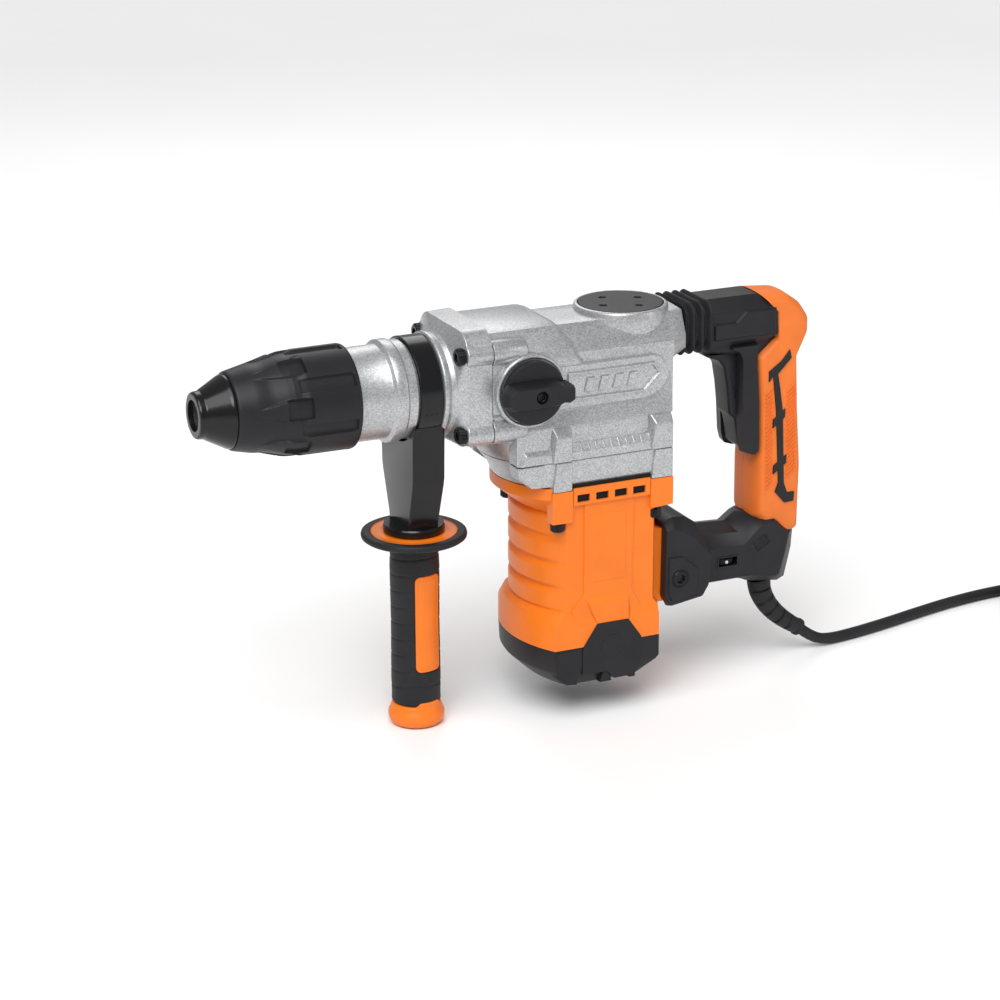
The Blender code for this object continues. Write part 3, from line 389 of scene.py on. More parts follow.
def piece(name, shapes, look, body, replaces=(), edge=0, sharp=32, cuts=(), segments=2):
    """A finished piece: its mesh, finish and rounded edges, and the body it rides on."""
    mesh = build(name, shapes)
    if cuts:
        mesh = carve(mesh, cuts)
        mesh.name = name
    mesh.materials.clear()
    mesh.materials.append(FINISHES[look])
    mesh.shade_smooth()
    mesh.set_sharp_from_angle(angle=math.radians(sharp))
    part = bpy.data.objects.new(name, mesh)
    bpy.context.scene.collection.objects.link(part)
    if edge:
        rounding = part.modifiers.new("rounding", "BEVEL")
        rounding.width, rounding.segments = edge * MM, segments
        rounding.limit_method, rounding.angle_limit = "ANGLE", math.radians(sharp)
        rounding.harden_normals = True
    if body:
        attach(part, body)
    if replaces:
        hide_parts(*replaces)
    return part


# ------------------------------------------------------------------------------- cord

CORD_RADIUS = 4
COIL_CENTRE = (384, -20)
COIL_EASE = 0.5              # added to each turn's radius, to use the whole length
TURNS = 7.08
CORD_ROUTE = [
    (147.3, 0, -220.2), (155, 0, -226.4), (165.5, 0.6, -231.9), (179, 2, -233.9),
    (200, 5, -234), (228, 11, -234), (258, 18.5, -234), (288, 25.5, -234),
    (316, 30, -234), (336, 31.7, -234), (350, 32, -234), (367, 32, -234),
    (384, 32, -234),
]


def coil_line(per_turn=40):
    """Turns laid beside and on each other, falling clockwise from a quarter turn.

    Radius and height above the floor are read from tables over the turn count t and eased
    between their entries, so each turn slides to its place beside or on the last one.
    """
    t = np.arange(0, TURNS, 1 / per_turn)
    turn, phase = t.astype(int), t % 1
    early, late, middle = ramp(phase, 0, 0.3), ramp(phase, 0.7, 1), ramp(phase, 0.3, 0.6)
    first = np.take([52, 44, 36, 36, 44, 52, 44, 36], turn)
    step = np.take([-8, -8, 0, 8, 8, -8, -8, 0], turn)
    radius = first + COIL_EASE + step * np.where(turn < 2, late, early)
    layer = np.take([0, 0, 0, 1, 1, 2, 2, 2], turn) + np.where(turn == 2, middle, 0)
    layer = layer + np.where(turn == 4, late, 0) + np.where(turn == 7, ramp(t, 6.9, 7.1), 0)
    angle = math.pi / 2 - TAU * t
    return np.column_stack([COIL_CENTRE[0] + radius * np.cos(angle),
                            COIL_CENTRE[1] + radius * np.sin(angle),
                            FLOOR_Z + CORD_RADIUS * (1.02 + 2.02 * layer)])


def cord_route():
    """The lead on the floor, the turns of the coil, and the low hump down to the plug."""
    lead = smooth_route(CORD_ROUTE, 6)
    coil = coil_line()
    tail = smooth_route([coil[-2], coil[-1], (413, 7, -209.9), (425, -6, -209.3), (432, -20, -210),
                         (435.2, -36, -214.6), (436, -52, -219.6)], 6)
    return np.vstack([lead[:-1], coil[:-2], tail])


def make_cord():
    """A round tube along the whole route, in place of the cord and coil solids."""
    route = cord_route()
    length = float(np.linalg.norm(np.diff(route, axis=0), axis=1).sum())
    curve = bpy.data.curves.new("cord", "CURVE")
    curve.dimensions = "3D"
    curve.bevel_depth = CORD_RADIUS * MM
    curve.bevel_resolution = 4
    curve.use_fill_caps = True
    spline = curve.splines.new("POLY")
    spline.points.add(len(route) - 1)
    placed = np.column_stack([(route + SHIFT) * MM, np.ones(len(route))])
    spline.points.foreach_set("co", placed.ravel())
    spline.use_smooth = True
    curve.materials.append(FINISHES["black_rubber"])
    cord = bpy.data.objects.new("cord", curve)
    bpy.context.scene.collection.objects.link(cord)
    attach(cord, "casing")
    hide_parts("power_cord", "cord_coil")
    return cord, length * MM


def make_plug():
    """Round contour plug with a ribbed neck and two pins, lying beside the coil."""
    def ribs(station, angle):
        along = band(station, -80, -56, 2)
        return -0.7 * along * (np.sin(station * TAU / 5) > 0.2)
    neck = [(-52.7, 4.6), (-53, 5.5), (-73, 7.2), (-79, 12), (-84, 15.5), (-90, 17),
            (-103, 17.9), (-105.2, 17.9), (-106, 17)]
    shapes = [turned(dense(neck, 0.6), "Y", 72, PLUG_CENTRE, ribs),
              slab(squared(11.5, 5, 3, 32, PLUG_CENTRE), "Y", -105, -107.2)]
    plug = piece("plug", shapes, "black_rubber", "casing", ("power_plug",), edge=0.4)
    pins = [turned([(-106, 2.4), (-123.6, 2.4), (-124.6, 1.9), (-125, 1.2)], "Y", 32,
                   (PLUG_CENTRE[0] + x, PLUG_CENTRE[1])) for x in (-9.5, 9.5)]
    return [plug, piece("plug_pins", pins, "bearing_steel", "casing")]


# ------------------------------------------------------------------------------- nose

def make_nose():
    """Turned dust cap, and the chuck sleeve with its seven sunk pads."""
    profile = [(-305.4, 10.4), (-305.4, 14), (-305, 14.9), (-303.9, 15.5), (-300.6, 15.8),
               (-299.6, 16.4), (-286.2, 23.7), (-284.6, 24.3), (-283.4, 24.3), (-283.3, 13.6),
               (-301.6, 13.4), (-302.4, 10)]
    piece("nose_cap", [turned(dense(profile, 1.5), "X", 112, loop=True)], "gloss_black",
          "spindle", ("dust_cap",), edge=0.25)

    period = TAU / 7

    def pads(station, angle):
        """Seven times: a pad that widens to the rear and ends in a sunk window, with
        flutes beside it that run on as square-ended slots."""
        offset = np.abs((angle + 0.15) % period / period - 0.5) * 2      # 0 on a pad's middle
        half = 0.14 + 0.32 * np.clip((station + 270) / 20, 0, 1)
        window = band(station, -251.5, -235.5, 0.7) * ramp(0.44 - offset, 0, 0.04)
        beside = (ramp(offset, half, half + 0.05) * ramp(station, -271, -258)
                  * (1 - ramp(station, -243, -236)))
        far = ((angle + 0.15 + period / 2) % period / period - 0.5) * 2
        slot = (ramp(0.30 - np.abs(far), 0, 0.045) * band(station, -242, -205, 0.8))
        return -(2.2 * window + 1.5 * beside * (1 - window) + 1.9 * slot * (1 - beside * 0.6))

    outer = [(-282.9, 23.6), (-282.9, 25), (-282.2, 25.7), (-281, 26.1), (-262, 30.4),
             (-250, 33.6), (-246, 34.4), (-241, 34.7), (-203.4, 34.9), (-202.1, 34.5),
             (-201.6, 33.6)]
    inner = [(-201.6, 32.3), (-222, 32.3), (-222, 25.2), (-241, 25.2), (-241, 16.8),
             (-282.9, 16.8)]
    skin_profile = dense(outer, 0.45)
    whole = np.vstack([skin_profile, inner])
    fade = ramp(np.arange(len(whole)), 3, 8) * (np.arange(len(whole)) < len(skin_profile) - 6)
    piece("sleeve", [turned(whole, "X", 392, relief=lambda s, a: pads(s, a) * fade[:, None],
                            loop=True)], "black_plastic", "sleeve", ("chuck_sleeve",), sharp=50)


# --------------------------------------------------------------------- front housing

FRONT_BOLTS = [(y, z) for y in (-34.5, 34.5) for z in (-26.6, 26.6)]


def socket_bolt(axis, seat, head_end, shank_end, centre, radius=5.7):
    """Socket head screw: ribbed head with a chamfer and a six-sided hole, and its shank."""
    way = 1 if head_end > seat else -1
    count = 96
    angle = np.arange(count) * TAU / count
    rib = 0.18 * np.sign(np.sin(24 * angle))
    turn = (angle + math.pi / 6) % (TAU / 6) - math.pi / 6
    six = 2.9 * math.cos(math.pi / 6) / np.cos(turn)
    even = np.ones(count)
    rings = [(shank_end, 2.6 * even), (seat, 2.6 * even), (seat, radius * even),
             (seat + way * 0.4, radius + rib), (head_end - way * 1.1, radius + rib),
             (head_end - way * 0.7, (radius - 0.3) * even), (head_end, (radius - 1) * even),
             (head_end, six + 0.35), (head_end - way * 0.4, six), (head_end - way * 3.2, six),
             (head_end - way * 3.9, six * 0.1)]
    reach = np.array([r for _, r in rings])
    station = np.repeat(np.array([s for s, _ in rings])[:, None], count, 1)
    return skin(placed(axis, station, centre[0] + reach * np.cos(angle),
                       centre[1] + reach * np.sin(angle)))


def make_front_housing():
    """Turned neck whose round sections grow into the square flange, with its four screws."""
    count = 128
    barrel = [(-209, 30.6), (-208.4, 31.2), (-179.4, 31.4), (-178.4, 31.9), (-177.2, 33.8),
              (-176.4, 34.2), (-170.4, 34.3), (-169.6, 34), (-168.6, 33), (-162.4, 33),
              (-161.9, 31.8), (-145.2, 31.8), (-144.7, 35.2), (-143.9, 35.9), (-142, 36),
              (-141.2, 35.3), (-139.6, 34.6)]
    rings = [across("X", circle(r, count), x) for x, r in barrel]
    flange = [(-136.5, 35.6, 35), (-133.6, 37.6, 25), (-131.4, 38.9, 17.5), (-130.6, 39.6, 15),
              (-113.3, 40, 14.5)]
    rings += [across("X", squared(h, h, min(c, h), count, (0, 2.5 * ramp(x, -139, -131))),
                     x) for x, h, c in flange]
    rings += [across("X", circle(r, count), x) for x, r in
              ((-113.3, 30), (-125, 30), (-127, 23), (-183, 23), (-183, 29),
               (-209, 29))]
    bosses = [turned([(-131.2, 5), (-131.2, 7), (-130.5, 7.7), (-118, 8.2), (-113.3, 8.2),
                      (-113.3, 3)], "X", 40, bolt) for bolt in FRONT_BOLTS]
    webs = [slab([(s * 22, t * 31 + 2), (s * 36, t * 20 + 2), (s * 39.6, t * 20 + 2),
                  (s * 39.6, t * 33 + 2), (s * 30, t * 40 + 2), (s * 20, t * 40 + 2)],
                 "X", -126, -113.3, 1) for s in SIDES for t in SIDES]
    piece("front_casting", [skin(np.array(rings), loop=True)] + bosses + webs, "die_cast",
          "casing", ("front_housing",), edge=0.55)
    for i, bolt in enumerate(FRONT_BOLTS, 1):
        piece(f"flange_screw_{i}", [socket_bolt("X", -131.4, -137, -125, bolt)], "black_steel",
              "casing", (f"front_bolt_{i}",), edge=0.12)


# ---------------------------------------------------------------------- gear housing

def plan(front, corner, half, rear_corner, rear_side, rear_end, arc=25):
    """Plan of the casing: a circle's arc across the front, flat sides and a blunt rear."""
    sagitta = corner - front
    radius = (half * half + sagitta * sagitta) / (2 * sagitta)
    reach = math.asin(min(1, half / radius))
    a = np.linspace(-reach, reach, arc)
    bow = np.column_stack([front + radius * (1 - np.cos(a)), radius * np.sin(a)])
    rear = [(rear_corner, half), rear_side, (rear_end, 0), (rear_side[0], -rear_side[1]),
            (rear_corner, -half)]
    return np.vstack([bow, rear])


def stacked(levels):
    """The plans of a table of (height, plan values) joined from level to level."""
    return skin([across("Z", plan(*shape), height) for height, shape in levels])


def both(shape):
    """The shape and its mirror image on the other side."""
    return [shape, mirrored(shape)]


FLANGE_X = -113
BLOCK, NECK = (21.5, 30), (36, 27)
CASE_LEVELS = [
    (36.6, (FLANGE_X, FLANGE_X + 0.3, 20, 21, (35, 16), 36)),
    (35.6, (FLANGE_X, FLANGE_X + 0.3, 23, 22, (35.6, 21), 36.3)),
    (20, (FLANGE_X, FLANGE_X + 0.3, 36.8, 22, NECK, 36.3)),
    (10.5, (FLANGE_X, FLANGE_X + 0.3, 37.6, 22, NECK, 36.3)),
    (8, (FLANGE_X, FLANGE_X + 0.3, 37.6, 21, BLOCK, 30)),
    (-17.4, (FLANGE_X, FLANGE_X + 0.3, 37.6, 21, BLOCK, 30)),
    (-28.2, (FLANGE_X, -96, 41.6, 19, BLOCK, 30)),
    (-28.8, (FLANGE_X, -96, 39.4, 19, BLOCK, 30)),
    (-36, (-112.5, -90, 39.4, 18, BLOCK, 29)),
    (-41, (-110, -80, 39.6, 18, BLOCK, 29)),
    (-46.2, (-107.2, -76, 43.4, 17.6, BLOCK, 29)),
    (-52.15, (-103.5, -73, 43.6, 17.6, BLOCK, 29)),
]
BASE_LEVELS = [
    (-52.35, (-103.5, -73, 43.6, 17.6, BLOCK, 29)),
    (-62.6, (-95.4, -73, 43.6, 17.6, (21, 28), 27)),
    (-67, (-93.5, -72, 43.6, 17.4, (20.5, 28), 24)),
    (-70, (-92.5, -71, 42.2, 17, (20, 28), 22)),
]
FRONT_RIB, REAR_RIB = (-72.2, -57), (1.4, 18.4)


def rib(x_range, top_in, top_out, bottom):
    """An upright rib on the flat side: full height against the wall, its top falling outwards."""
    low, high = x_range
    inner = [(low, bottom), (high, bottom), (high, top_in), (low, top_in)]
    outer = [(low + 0.6, bottom), (high - 0.6, bottom), (high - 0.6, top_out),
             (low + 3.6, top_out)]
    return skin([across("Y", inner, -36), across("Y", inner, -38.5), across("Y", outer, -45.5)])


def make_gear_housing():
    """Upper and lower gear casting with boss, panels, ribs and ledge, and the lid."""
    shapes = [stacked(CASE_LEVELS)]
    # fuller front part of the upper casing, ending in a slanting step
    section = np.array([(-22, 40.6), (-30.5, 38.6), (-38.6, 24), (-39.6, 14), (-39.6, -14),
                        (-37, -17.5), (-20, -17.5), (-20, 20), (20, 20), (20, -17.5), (37, -17.5),
                        (39.6, -14), (39.6, 14), (38.6, 24), (30.5, 38.6), (22, 40.6)])
    back = -66 + (40 - np.maximum(section[:, 1], 5)) * 0.62
    shapes.append(skin([across("X", section, -112.95), across("X", section, back),
                        across("X", section * (0.93, 0.965), back + 5)]))
    shapes += [turned([(-112.9, 8.7), (-90.2, 8.5), (-88.6, 7.7), (-87.2, 5.2), (-86.8, 0.5)],
                      "X", 48, bolt) for bolt in FRONT_BOLTS]
    # collar of the lid
    shapes.append(turned([(6, 31), (30, 32.2), (38.4, 32.2), (39.8, 31.5), (40.3, 30.3),
                          (40.3, 29.3), (37, 29.3), (36.6, 28)], "Z", 112))
    # boss of the knob, and the raised panels with their rim and bars
    shapes.append(turned([(-30, 25.4), (-42.6, 25.2), (-44, 24.8), (-44.6, 24),
                          (-44.6, 22.9), (-43.2, 22.6), (-43, 21)], "Y", 112, KNOB_CENTRE))
    panel = softened([(-100, 13.6), (7.2, 13.6), (13.6, 9.5), (17.2, 1), (15.2, -8.5),
                      (5.5, -15.6), (-2, -17.2), (-100, -17.2)], 5, 7)
    shapes += both(slab(panel, "Y", -36, -40.7, 0, 0.9))
    shapes += both(slab([(-97, -27.5), (-66, -27.5), (-66, -52.15), (-97, -52.15)], "Y",
                        -30, -41.2, 0, 0.6))
    shapes += both(skin([
        across("Y", [(-92, -41), (-70, -41), (-70, -52.15), (-97, -52.15)], -40),
        across("Y", [(-90, -45.5), (-70, -45.5), (-70, -52.15), (-94, -52.15)], -43.2)]))
    piece("gear_casting", shapes, "die_cast", "casing", ("gear_housing",), edge=0.8, segments=3)
    rim = np.array([(-60, 8.8), (4.7, 8.9), (10.8, 0.2), (-2.2, -12), (-60, -11.4)])
    raised = both(skin([across("Y", inset(rim, drawn), y) for drawn, y in
                        ((0, -40), (0.8, -42.4), (2, -42.4), (2.8, -40))], loop=True))
    for x in (-48, -37.4, -26.8, -16.2):
        raised += both(slab([(x, -6.4), (x + 6.6, -6.4), (x + 9.2, 3.8), (x + 2.6, 3.8)], "Y",
                            -40, -42, 0, 0.6))
    piece("side_panels", raised, "die_cast", "casing", edge=0.35)
    # ribs that carry the motor screws
    ribs = both(rib(FRONT_RIB, -24, -34.6, -52.15)) + both(rib(REAR_RIB, -25.5, -34.2, -52.15))
    piece("casting_ribs", ribs, "die_cast", "casing", edge=0.9, segments=3)
    stroke = [(-40.55, -41.25), (-43.95, -45.55), (-43.95, -46.25), (-38.85, -46.25),
              (-38.85, -41.25)]
    hatch = []
    for x in -50 + 5.6 * np.arange(9):
        hatch += both(skin([across("X", stroke, x), across("X", stroke, x + 1.2)]))
    piece("ledge_hatch", hatch, "die_cast", "casing", edge=0.2)
    base = [stacked(BASE_LEVELS)]
    base += both(slab([(-97, -52.35), (-66, -52.35), (-66, -70), (-86, -69),
                       (-96, -61)], "Y", -30, -42.4, 0, 0.6))
    for place in (FRONT_RIB, REAR_RIB):
        base += both(rib(place, -52.35, -52.35, -72.6))
    piece("gear_casting_base", base, "die_cast", "casing", ("gear_housing_base",), edge=0.7,
          segments=3)
    make_lid()


def make_lid():
    """Lid with four slotted holes: height = top - depth where (u/a)^2 + (v/b)^2 < 1."""
    radius = np.concatenate([np.linspace(0, 27.6, 96)[1:], [28.3, 28.7, 28.8]])
    count = 220
    angle = np.arange(count) * TAU / count
    u, v = radius[:, None] * np.cos(angle), radius[:, None] * np.sin(angle)
    height = np.full(u.shape, 40.4)
    for hole_u, hole_v in ((15.2, 4.4), (6.6, -14.4), (-15.2, -4.4), (-6.6, 14.4)):
        far = np.hypot(u - hole_u, v - hole_v) / 2.5
        height = height - 3 * (1 - ramp(far, 0.85, 1.1))
    height[-2] -= 0.15
    height[-1] -= 0.6
    rings = np.stack([u, v, height], -1)[::-1]
    bottom = np.stack([u[-1], v[-1], np.full(count, 37.4)], -1)
    piece("lid", [skin(np.vstack([bottom[None], rings]))], "black_plastic", "casing",
          ("top_cover",), sharp=45)


# ------------------------------------------------------------------------------ motor

MOTOR_BOLTS = [(x, y) for x in (-66, 6.6) for y in (-40, 40)]


def make_motor_housing():
    """Ribbed motor shell with its bore, side trims, vents and screws."""
    rear, waist = (12, 38), (8, 38)
    z = np.unique(np.linspace(-91, -160, 120))[::-1]
    bulge = 3.2 * sum(band(z, c - 7, c + 7, 4) for c in (-99.5, -117.5, -135.5, -153))
    levels = [(-70.35, (-92.4, -72, 43.2, 17, (20, 28), 22)),
              (-78.4, (-92.4, -72, 43.2, 15, (18, 30), 20)),
              (-79.4, (-91, -70, 43, 12, rear, 13)),
              (-90, (-78, -62, 42.8, 6, waist, 8.3))]
    levels += [(h, (-74.8 - b, -60.5, 42.8, 5, waist, 8.3)) for h, b in zip(z, bulge)]
    levels += [(-163.6, (-81, -66, 43.8, 8, (11, 38), 11.3)),
               (-171, (-83.4, -70, 45.3, 9, rear, 12.3)),
               (-186, (-83.4, -70, 45.5, 9, rear, 12.3))]
    lug = slab(softened([(8, -166), (38, -166), (38.5, -158), (38.5, -124),
                         (28, -114), (8, -112)], 2.5), "Y", -36, 36)
    bore = turned([(-192, 35.9), (-60, 35.9)], "Z", 96, (-36, 0))
    piece("motor_shell", [stacked(levels), lug], "orange_plastic", "casing", ("motor_housing",),
          edge=0.5, cuts=[bore])

    strip = softened([(-56.6, -71.4), (0.9, -71.4), (0.9, -83.6), (-56.6, -83.6)], 0.8, 3)
    long_panel = [(-48.2, -83), (-10.2, -83), (-11.2, -150), (-4, -163), (-4, -186),
                  (-50, -186), (-50, -176), (-57.4, -160), (-48.2, -149)]
    plate = softened([(-44.7, -91.8), (-16.4, -91.8), (-16.4, -140.4), (-44.7, -140.4)], 2, 5)
    trims = [
        slab(strip, "Y", -42, -45.4),
        # boxes that carry the screw heads
        slab([(-72.2, -72.9), (-57, -72.9), (-57, -95.2), (-72.2, -94.8)], "Y", -36.5, -45.3),
        slab([(1.4, -72.9), (18.4, -72.9), (18.4, -92.6), (1.4, -93.6)], "Y", -34, -45.3),
        # long panel, its foot and its plate
        slab(long_panel, "Y", -42, -43.9, 0, 0.5),
        skin([across("Y", [(-46.8, -151), (-13.6, -151.6), (-10, -170.5), (-40, -170.5)],
                     -43),
              across("Y", [(-45, -155), (-15, -155), (-14.6, -170.6), (-38.2, -170.6)],
                     -45.6)]),
        slab(plate, "Y", -43, -44.2, 0, 0.3)]
    vents = [slab(squared(4.7, 2.7, 0.5, 24, (x, VENT_Z)), "Y", -41, -48)
             for x in (-49.2, -35.2, -21.2, -7.4)]
    piece("motor_shell_trim", trims + [mirrored(t) for t in trims], "orange_plastic", "casing",
          edge=0.45, cuts=vents + [mirrored(v) for v in vents])
    # painted shade: dark strips just behind the vent openings stand in for the shade inside them
    dark = [slab(squared(27, 3.6, 1, 24, (-28, VENT_Z)), "Y", s * 41, s * 43.6) for s in SIDES]
    piece("vent_shadow", dark, "painted_shade", "casing")
    # painted shade: dark strips in the seam between gear casting and motor shell stand in for the
    # shade in the gap
    gap = [block((-57.2, s * 43.3 - 0.8, -72.8), (1.6, s * 43.3 + 0.8, -69.2)) for s in SIDES]
    piece("seam_shadow", gap, "painted_shade", "casing")
    for i, bolt in enumerate(MOTOR_BOLTS, 1):
        piece(f"motor_screw_{i}", [socket_bolt("Z", -95.3, -101.5, -90, bolt, 4.9)],
              "black_steel", "casing", (f"motor_bolt_{i}",), edge=0.12)


def make_end_cap():
    """Cap under the motor: stacked plans, with side tabs, feet and a round plate."""
    rear = (12, 38)
    body = stacked([
        (-186.25, (-83.4, -70, 45.5, 9, rear, 12.3)),
        (-201, (-82.4, -69.4, 45.5, 9, (11.4, 38), 11.8)),
        (-203.5, (-80.8, -68.6, 45, 7, (9.4, 37), 9.8)),
        (-213.6, (-70, -60, 40, -6, (-4, 32), -3.5)),
        (-215, (-67, -58, 38, -8, (-6, 30), -5.5)),
    ])
    tab = softened([(-50, -187), (-38.4, -170.2), (-14.8, -170.2), (-4.6, -184.6), (-4.6, -205),
                    (-11, -212.6), (-26, -212.6), (-31, -206.5), (-50, -206.5)], 0.8, 3)
    sides = [slab(tab, "Y", -41, -46.3, 0, 0.4), slab([(-70, -187), (-53.5, -187), (-53.5, -213),
                                                       (-62, -212), (-70, -206)], "Y", -41, -45.9,
                                                      0, 0.5), slab([(-33.5, -205), (-29, -205),
                                                                     (-26, -214.9),
                                                                     (-36.5, -214.9)], "Y", -30,
                                                                    -44.6, 0, 0.6),
             slab([(-14, -205), (-8, -205), (-8, -214.9), (-14, -214.9)], "Y", -28, -44.4, 0, 0.6),
             turned([(-45.8, 9.2), (-46.55, 9), (-46.55, 8.1), (-46.25, 7.9), (-46.25, 0.3)], "Y",
                    64, (-27, -189))]
    piece("motor_foot_cap", [body] + sides + [mirrored(s) for s in sides], "black_plastic",
          "casing", ("motor_end_cap",), edge=0.7, segments=3)


# ------------------------------------------------------------------------- mode knob

def make_mode_knob():
    """Disc with a grip bar that narrows outwards, a screw and a pointer."""
    centre = KNOB_CENTRE
    disc = turned([(-44.9, 20.6), (-45, 21.4), (-49, 21.6), (-49.8, 21.2), (-50.2, 20.2),
                   (-50.2, 4)], "Y", 112, centre)
    spindle = turned([(-31, 7.9), (-45, 7.9)], "Y", 40, centre)
    grip = np.array([(-25, -4.6), (-25, 4.6), (-20, 8.6), (14, 8.2), (18, 6.4), (21, 7.2),
                     (24.8, 4.6), (24.8, -4.6), (21, -7.2), (18, -6.4), (14, -8.2), (-20, -8.6)])
    ridge = np.array([(-22.6, -3.6), (-22.6, 3.6), (-18, 6.6), (13, 6.2), (16.6, 4.8),
                      (20, 5.6), (23.6, 3.6), (23.6, -3.6), (20, -5.6), (16.6, -4.8), (13, -6.2),
                      (-18, -6.6)])
    bar = skin([across("Y", grip + centre, -49.8), across("Y", grip + centre, -56),
                across("Y", ridge + centre, -60.9)])
    recess = turned([(-57.4, 4.3), (-64, 4.3)], "Y", 40, centre)
    piece("knob", [disc, spindle, bar], "black_plastic", "mode_knob", ("mode_knob",), edge=0.5,
          cuts=[recess], segments=3)
    piece("knob_screw_head", [socket_bolt("Y", -57.5, -59.8, -56, centre, 3.7)], "black_steel",
          "mode_knob", ("knob_screw",), edge=0.1)
    arrow = np.array([(11.6, 2.2), (11.6, -2.2), (15.92, 0)]) + centre
    piece("knob_arrow", [slab(arrow, "Y", -60.6, -61.1)], "gloss_black", "mode_knob",
          edge=0.1)


# ------------------------------------------------------------------------ side handle

BAND_X = -153.5


def make_side_handle():
    """Clamp band with three raised dots, its yoke, the hand guard and the grip."""
    low, high = BAND_X - 7.85, BAND_X + 7.85
    profile = [(low, 32.3), (low, 34.2), (low + 0.5, 34.7), (high - 0.5, 34.7), (high, 34.2),
               (high, 32.3)]
    piece("band", [turned(profile, "X", 128, loop=True)], "gloss_black", "side_handle",
          ("clamp_band",), edge=0.15)
    tilt = math.radians(-17)
    dots = []
    for k in (-1, 0, 1):
        points, faces = turned([(34.2, 0.9), (34.75, 0.8), (34.95, 0.4)], "Z", 16)
        x, y, reach = points.T
        dots.append((np.column_stack([x + BAND_X + 3.6 * k, -reach * math.cos(tilt),
                                      reach * math.sin(tilt) + y]), faces))
    piece("band_dots", dots, "black_steel", "side_handle")
    centre = (BAND_X, 0)
    rings = [across("Z", squared(u, v, 1.6, 48, centre), z) for z, u, v in
             ((-20, 11.4, 28.5), (-57, 11.4, 27.2), (-62, 11.3, 26.2), (-90, 10.8, 17.6),
              (-95.4, 10.8, 17.2))]
    seat = turned([(-200, 34.9), (-100, 34.9)], "X", 96)
    stud = turned([(-94, 20.2), (-95, 20.9), (-98.6, 20.9), (-99.4, 20.2), (-99.4, 4.8),
                   (-150, 4.8)], "Z", 96, centre)
    piece("yoke_block", [skin(rings), stud], "gloss_black", "side_handle", ("clamp_yoke",),
          edge=0.5, cuts=[seat], segments=3)
    guard = [(-99.8, 5.3), (-100.6, 20.5), (-101.2, 24), (-100.7, 28.6), (-99.8, 30),
             (-99.75, 33.8), (-100.5, 35.3), (-102, 35.8), (-103.6, 35.5), (-104.7, 34),
             (-104.9, 20), (-104.9, 5.3)]
    piece("guard", [turned(dense(guard, 1.5), "Z", 128, centre, loop=True)], "black_rubber",
          "side_handle", ("hand_guard",), sharp=60)
    inlay = [(-100.2, 16), (-100.2, 21.2), (-100.75, 24), (-100.2, 28.4), (-99.7, 29.2),
             (-101.6, 29.4), (-101.9, 16)]
    piece("guard_ring", [turned(dense(inlay, 1), "Z", 128, centre, loop=True)],
          "orange_plastic", "side_handle", sharp=60)
    make_grip(centre)


INLAY_MIDDLE = -162.5


def make_grip(centre):
    """Rubber grip with shallow bowed ribs, an inlay on its outer side and an end cap."""
    def ribs(station, angle):
        facing = (angle - math.radians(100)) % TAU
        wave = station + 2.4 * np.cos(facing) + 3 * np.sin(facing * 0.5)
        line = np.abs((wave / 11.5) % 1 - 0.5) * 2
        cut = ramp(line, 0.84, 0.97) * band(station, -216, -112, 4)
        away = 1 - inlay_field(station, angle, 1.6)
        sides = 0.35 * (np.cos(2 * (angle - math.radians(100))) - 1) * 0.5
        return (-0.55 * cut * away - 0.75 * inlay_field(station, angle, 0.5)
                + sides * band(station, -218, -108, 6))

    def inlay_field(station, angle, grow):
        """1 inside the long rounded window on the outer side, 0 outside."""
        across_it = ((angle - INLAY_FACES + math.pi) % TAU - math.pi) * 16.8
        along = station - INLAY_MIDDLE
        u = np.maximum(np.abs(across_it) - (6.4 + grow), 0)
        v = np.maximum(np.abs(along) - (30.6 + grow), 0)
        return 1 - ramp(np.hypot(u, v), 3.7, 4.1)

    outer = [(-105.3, 6), (-105.3, 15.4), (-106.2, 16.4), (-125, 17.1), (-165, 16.7),
             (-205, 17.1), (-220.6, 16.7), (-221.8, 16), (-222, 6)]
    piece("grip", [turned(dense(outer, 0.7), "Z", 200, centre, relief=ribs)], "black_rubber",
          "grip", ("side_grip",), sharp=60)
    z = INLAY_MIDDLE + np.linspace(-35.4, 35.4, 240)
    a = np.linspace(-0.65, 0.65, 72) + INLAY_FACES
    rows, angles = np.meshgrid(z, a, indexing="ij")
    lift = inlay_field(rows, angles, -0.2)
    groove = np.abs(np.maximum(np.abs((angles - INLAY_FACES) * 16.8) - 7.8,
                               np.abs(rows - INLAY_MIDDLE) - 32.2))
    base = 16.75 + 0.35 * ramp(np.abs(rows + 165), 5, 40)
    r = base - 1.6 + 1.75 * lift - 0.3 * (1 - ramp(groove, 0.2, 0.7))
    top = np.stack([centre[0] + r * np.cos(angles), r * np.sin(angles), rows], -1)
    low = np.stack([centre[0] + 12 * np.cos(angles), 12 * np.sin(angles), rows], -1)
    sheet = np.concatenate([top, low[:, ::-1]], axis=1)
    piece("grip_inlay", [skin(sheet)], "orange_plastic", "grip", sharp=60)

    cap = [(-222.3, 15.9), (-222.9, 16.6), (-226, 17.6), (-229, 19), (-230.9, 19.3),
           (-233.6, 19), (-236.6, 17.6), (-237.7, 15.6), (-238, 13)]
    cap_rings = dense(cap, 0.8)
    angle = np.arange(120) * TAU / 120
    rise = 3.2 * (ramp(np.cos(angle - INLAY_FACES), 0.80, 0.93))
    radius = np.repeat(cap_rings[:, 1:2], 120, 1)
    station = np.repeat(cap_rings[:, 0:1], 120, 1) + rise * (1 - ramp(
        np.repeat(-cap_rings[:, 0:1], 120, 1), 222, 228))
    radius = radius + 0.75 * (station > -221.9)
    rings = np.stack([centre[0] + radius * np.cos(angle), radius * np.sin(angle), station], -1)
    piece("grip_end", [skin(rings)], "orange_plastic", "grip", ("side_grip_cap",), sharp=60)


# ------------------------------------------------------------------------ rear handle

